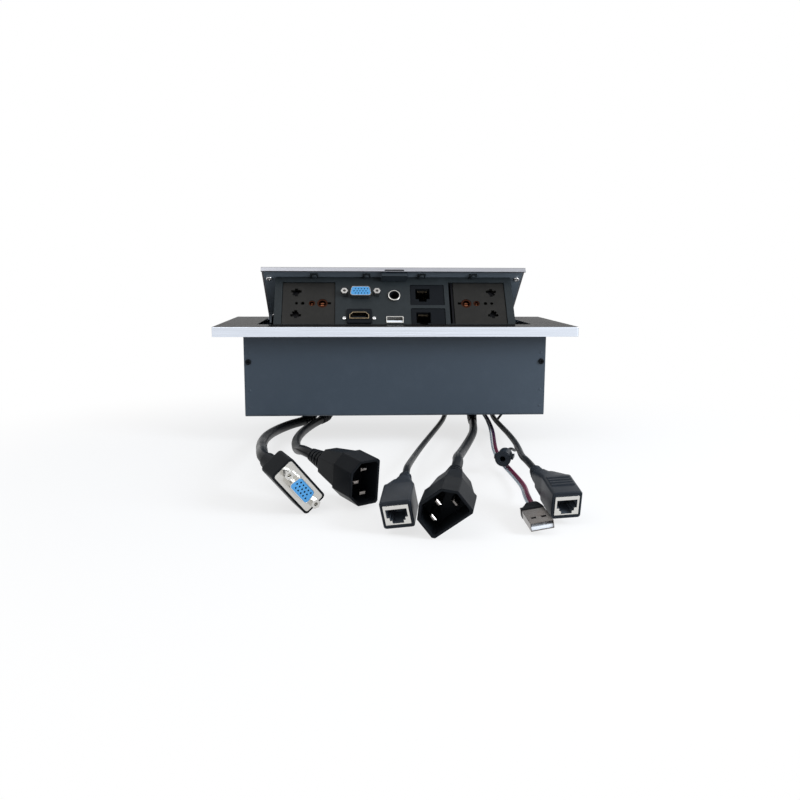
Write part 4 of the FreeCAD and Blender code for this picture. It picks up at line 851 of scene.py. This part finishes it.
class NetworkHoodSizes(bpy.types.PropertyGroup):
    length: FloatProperty(name="Length", description="Width of the moulded block, in mm", default=16.0)
    height: FloatProperty(name="Height", description="Height of the moulded block, in mm", default=15.5)
    block: FloatProperty(name="Block", description="Depth of the square block, in mm", default=18.5)
    shoulder: FloatProperty(name="Shoulder", description="Where the slope to the boot ends, in mm",
                            default=29.0)
    boot: FloatProperty(name="Boot", description="Width of the boot at its thick end, in mm", default=9.6)
    ribs: IntProperty(name="Ribs", description="Grip ribs on the top and the bottom", default=4)
    grooves: IntProperty(name="Grooves", description="Grooves round the boot", default=3)


class SOCKETBOX_OT_network_hoods(bpy.types.Operator):
    """Makes the moulded hoods of the two network plugs, with their sloped shoulders and boots"""
    bl_idname = "socketbox.network_hoods"
    bl_label = "Network plug hoods"

    def execute(self, context):
        sizes = context.scene.socketbox_hood
        port = context.scene.socketbox_network
        for node, pose, side, ribs in (("lan_plug_left", LAN_PLUG_LEFT, 0.0, 0),
                                       ("lan_plug_right", LAN_PLUG_RIGHT, -5.0, sizes.ribs)):
            place = metres(plug_matrix(pose))

            def build(grid):
                wide, tall, boot = sizes.length, sizes.height, sizes.boot
                skin = [(0.0, rounded_points(wide - 0.8, tall - 0.8, 1.1)),
                        (-0.4, rounded_points(wide, tall, 1.5)),
                        (-sizes.block, rounded_points(wide, tall, 1.5)),
                        (-sizes.block - 2.0, rounded_points(wide - 1.4, tall - 1.4, 1.8, side * 0.05)),
                        (-sizes.shoulder + 1.5, rounded_points(boot + 1.6, boot + 1.6, 2.6, side * 0.62)),
                        (-sizes.shoulder, rounded_points(boot, boot, 2.8, side * 0.7)),
                        (-33.0, rounded_points(8.6, 8.6, 3.4, side * 0.9))]
                for k in range(sizes.grooves):
                    level, width = -33.8 - 2.0 * k, 7.9 - 0.6 * k
                    thin = width - 0.9
                    for back, size in ((0.0, width), (0.3, thin), (0.9, thin), (1.2, width)):
                        skin.append((level - back, rounded_points(size, size, size / 2 - 0.2, side)))
                skin.append((-pose[4], rounded_points(5.8, 5.8, 2.7, side)))
                front, back = loft_in(grid, place, skin)
                grid.faces.new(back)
                room = [(level, rounded_points(port.shell_length + 0.04, port.shell_height + 0.04, 0.3))
                        for level in (0.0, -1.6)]
                mouth, sill = loft_in(grid, place, room)
                wall_between(grid, front, mouth)
                inside = rounded_points(11.4, 10.0, 0.3)
                well = loop_at(grid, place, inside, -1.6)
                wall_between(grid, sill, well)
                floor = loop_at(grid, place, inside, -port.port_depth - 0.6)
                wall_between(grid, well, floor)
                grid.faces.new(floor)
                for k in range(ribs):
                    rear = -sizes.block + 1.6 + 2.6 * k
                    for way in (-1, 1):
                        bar = [(-6.6, way * (tall / 2 - 0.3)), (6.6, way * (tall / 2 - 0.3)),
                               (6.2, way * (tall / 2 + 0.45)), (-6.2, way * (tall / 2 + 0.45))]
                        prism_in(grid, place, bar, rear, rear + 1.2)
            piece = new_piece(node + "_hood", build, "housing", "grey moulding")
            smooth_sides(piece)
            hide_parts(node)
            made_ends[node.replace("plug", "cord")].append(piece)
        return {"FINISHED"}


# Down the hood from the metal shell: level, length, height, corner radius and shift, in mm
USB_HOOD_SKIN = [
    (-18.0, 12.3, 4.9, 0.5, 0.0), (-18.2, 12.5, 5.2, 0.8, 0.0), (-20.6, 12.2, 5.2, 1.0, 0.1),
    (-22.2, 11.0, 5.2, 1.4, 0.6), (-25.6, 8.8, 5.0, 1.8, 1.4), (-27.4, 7.6, 4.6, 1.8, 1.5),
    (-28.0, 6.6, 3.8, 1.6, 1.4)]


class SOCKETBOX_OT_usb_hood(bpy.types.Operator):
    """Makes the short tapered hood behind the metal shell of the USB plug"""
    bl_idname = "socketbox.usb_hood"
    bl_label = "USB plug hood"

    def execute(self, context):
        place = metres(plug_matrix(USB_PLUG))

        def build(grid):
            skin = [(level, rounded_points(*outline)) for level, *outline in USB_HOOD_SKIN]
            front, back = loft_in(grid, place, skin)
            grid.faces.new(back)
            room = [(level, rounded_points(12.04, 4.54, 0.3)) for level in (-18.0, -20.5)]
            mouth, floor = loft_in(grid, place, room)
            wall_between(grid, front, mouth)
            grid.faces.new(floor)
        piece = new_piece("usb_plug_hood", build, "housing", "black moulding")
        smooth_sides(piece)
        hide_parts("usb_plug_body")
        for cord in ("usb_cord_red", "usb_cord_white"):
            made_ends[cord].append(piece)
        return {"FINISHED"}


# The welds' levels, how far they are from the housing's ends, and the sheet that they join
WELD_LEVELS = (-13.5, -41.6, -54.0)
WELD_INSET = 3.5
SHEET = 1.5


class WeldSizes(bpy.types.PropertyGroup):
    radius: FloatProperty(name="Radius", description="Spot weld on the housing, in mm", default=1.1)
    proud: FloatProperty(name="Proud", description="How far a weld stands out, in mm", default=0.22)


class SOCKETBOX_OT_welds(bpy.types.Operator):
    """Marks the spot welds where the housing is fixed to its end plates"""
    bl_idname = "socketbox.welds"
    bl_label = "Spot welds"

    def execute(self, context):
        sizes = context.scene.socketbox_weld
        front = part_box("end_plate_left")[0][1] / MM - SHEET
        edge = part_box("housing_shell")[1][0] / MM - WELD_INSET

        def build(grid):
            for x in (-edge, edge):
                for z in WELD_LEVELS:
                    place = placed(((1, 0, 0), (0, 0, 1), (0, -1, 0)), Vector((x, front, z)) * MM)
                    outer = loop_at(grid, place, round_points(sizes.radius, 16), -0.02)
                    inner = loop_at(grid, place, round_points(sizes.radius * 0.7, 16), sizes.proud)
                    wall_between(grid, outer, inner)
                    grid.faces.new(inner)
        new_piece("housing_welds", build, "housing", "housing paint")
        return {"FINISHED"}


# Where the sockets lie on the panel, and their earth holes from there, in mm
SOCKET_X, SOCKET_RISE = 66.0, -16.3
SMALL_EARTH, LARGE_EARTH = 2.5, 10.5


class EarthSpringSizes(bpy.types.PropertyGroup):
    large: FloatProperty(name="Large", description="Radius in the large hole, in mm", default=2.7)
    small: FloatProperty(name="Small", description="Radius in the small hole, in mm", default=1.6)
    # Core: the share of each spring that stands proud in brighter copper, which paints a highlight on it
    core: FloatProperty(name="Core", description="Share of each spring that is bare metal", default=0.55,
                        subtype="FACTOR")
    sunk: FloatProperty(name="Sunk", description="Depth behind the panel, in mm", default=2.6)


class SOCKETBOX_OT_earth_springs(bpy.types.Operator):
    """Puts the split copper springs in the earth holes of both sockets"""
    bl_idname = "socketbox.earth_springs"
    bl_label = "Earth springs"

    def execute(self, context):
        sizes = context.scene.socketbox_earth

        def half_disc(grid, place, x, radius, way, proud, slot):
            arc = [(x + radius * math.sin(a) * 0.96, way * (0.25 + radius * math.cos(a) * 0.9))
                   for a in (math.radians(v) for v in range(-84, 85, 14))]
            prism_in(grid, place, arc, -sizes.sunk - 1.0, proud - sizes.sunk, slot)

        def build(grid):
            for side in (-1, 1):
                place = metres(panel_matrix(side * SOCKET_X, SOCKET_RISE))
                for offset, radius in ((SMALL_EARTH, sizes.small), (LARGE_EARTH, sizes.large)):
                    for way in (-1, 1):
                        half_disc(grid, place, -side * offset, radius, way, 0.0, 0)
                        # The raised middle, in brighter copper: a painted highlight
                        half_disc(grid, place, -side * offset, radius * sizes.core, way, 0.3, 1)
        piece = new_piece("earth_springs", build, "carriage", "copper contact", "painted copper highlight")
        soften(piece, 0.2)
        return {"FINISHED"}


# Where the display socket lies on the panel, and the levels between which the dark tubes of painted shade
# in its pin holes stand
DISPLAY_X, DISPLAY_RISE = -26.1, -8.5
BLUE_FACE, SHADE_FOOT = 4.7, 2.0


# Sizes of the dark tubes that paint the shade in the display pin holes
class HoleShadeSizes(bpy.types.PropertyGroup):
    radius: FloatProperty(name="Radius", description="Of a contact tube, in mm", default=0.5)
    sunk: FloatProperty(name="Sunk", description="Depth behind the blue face, in mm", default=0.25)
    pitch: FloatProperty(name="Pitch", description="Between contacts in a row, in mm", default=2.29)
    row_pitch: FloatProperty(name="Row pitch", description="Between the rows, in mm", default=1.98)


class SOCKETBOX_OT_display_hole_shade(bpy.types.Operator):
    """Puts fifteen dark tubes in the pin holes of the display socket and of the display plug: painted
    shade in the holes
    """
    bl_idname = "socketbox.display_contacts"
    bl_label = "Display hole shade"

    def execute(self, context):
        sizes = context.scene.socketbox_contact
        for name, spot, body in (
                ("display_socket_hole_shade", panel_matrix(DISPLAY_X, DISPLAY_RISE), "carriage"),
                ("display_plug_hole_shade", plug_matrix(VGA_PLUG), "housing")):
            def build(grid):
                for row in (-1, 0, 1):
                    for column in range(5):
                        x = (column - 2 + (0.25 if row else -0.25)) * sizes.pitch
                        tube = round_points(sizes.radius, 12, x, row * sizes.row_pitch)
                        prism_in(grid, metres(spot), tube, SHADE_FOOT, BLUE_FACE - sizes.sunk)
            piece = new_piece(name, build, body, "deep black")
        made_ends["vga_cord"].append(piece)  # the plug's tubes of painted shade, made last
        return {"FINISHED"}


class SOCKETBOX_OT_declare(bpy.types.Operator):
    """Does nothing more: each lead's real length and what is on its end stand only in LEADS"""
    bl_idname = "socketbox.declare"
    bl_label = "Lead facts"

    def execute(self, context):
        return {"FINISHED"}


class SOCKETBOX_PT_panel(bpy.types.Panel):
    """Lists the steps that build the socket box"""
    bl_idname = "SOCKETBOX_PT_panel"
    bl_label = "Desk Socket Box"
    bl_space_type = "VIEW_3D"
    bl_region_type = "UI"
    bl_category = "Socket Box"

    def draw(self, context):
        for operator in OPERATORS:
            self.layout.operator(operator.bl_idname)


SIZE_SETS = {"stage": StageSizes, "finish": FinishSizes, "sleeve": SleeveSizes,
             "network": NetworkPlugSizes, "hood": NetworkHoodSizes, "weld": WeldSizes,
             "earth": EarthSpringSizes, "contact": HoleShadeSizes}
# The operators in the order in which they run
OPERATORS = [SOCKETBOX_OT_finishes, SOCKETBOX_OT_stage, SOCKETBOX_OT_leads, SOCKETBOX_OT_sleeves,
             SOCKETBOX_OT_network_faces, SOCKETBOX_OT_network_hoods, SOCKETBOX_OT_usb_hood,
             SOCKETBOX_OT_welds, SOCKETBOX_OT_earth_springs, SOCKETBOX_OT_display_hole_shade,
             SOCKETBOX_OT_declare]
CLASSES = [*SIZE_SETS.values(), *OPERATORS, SOCKETBOX_PT_panel]


def register():
    for item in CLASSES:
        bpy.utils.register_class(item)
    for key, sizes in SIZE_SETS.items():
        setattr(bpy.types.Scene, "socketbox_" + key, PointerProperty(type=sizes))


def unregister():
    for key in SIZE_SETS:
        delattr(bpy.types.Scene, "socketbox_" + key)
    for item in reversed(CLASSES):
        bpy.utils.unregister_class(item)


def main():
    register()
    for operator in OPERATORS:
        getattr(bpy.ops.socketbox, operator.bl_idname.split(".")[1])()


if __name__ == "__main__":
    main()
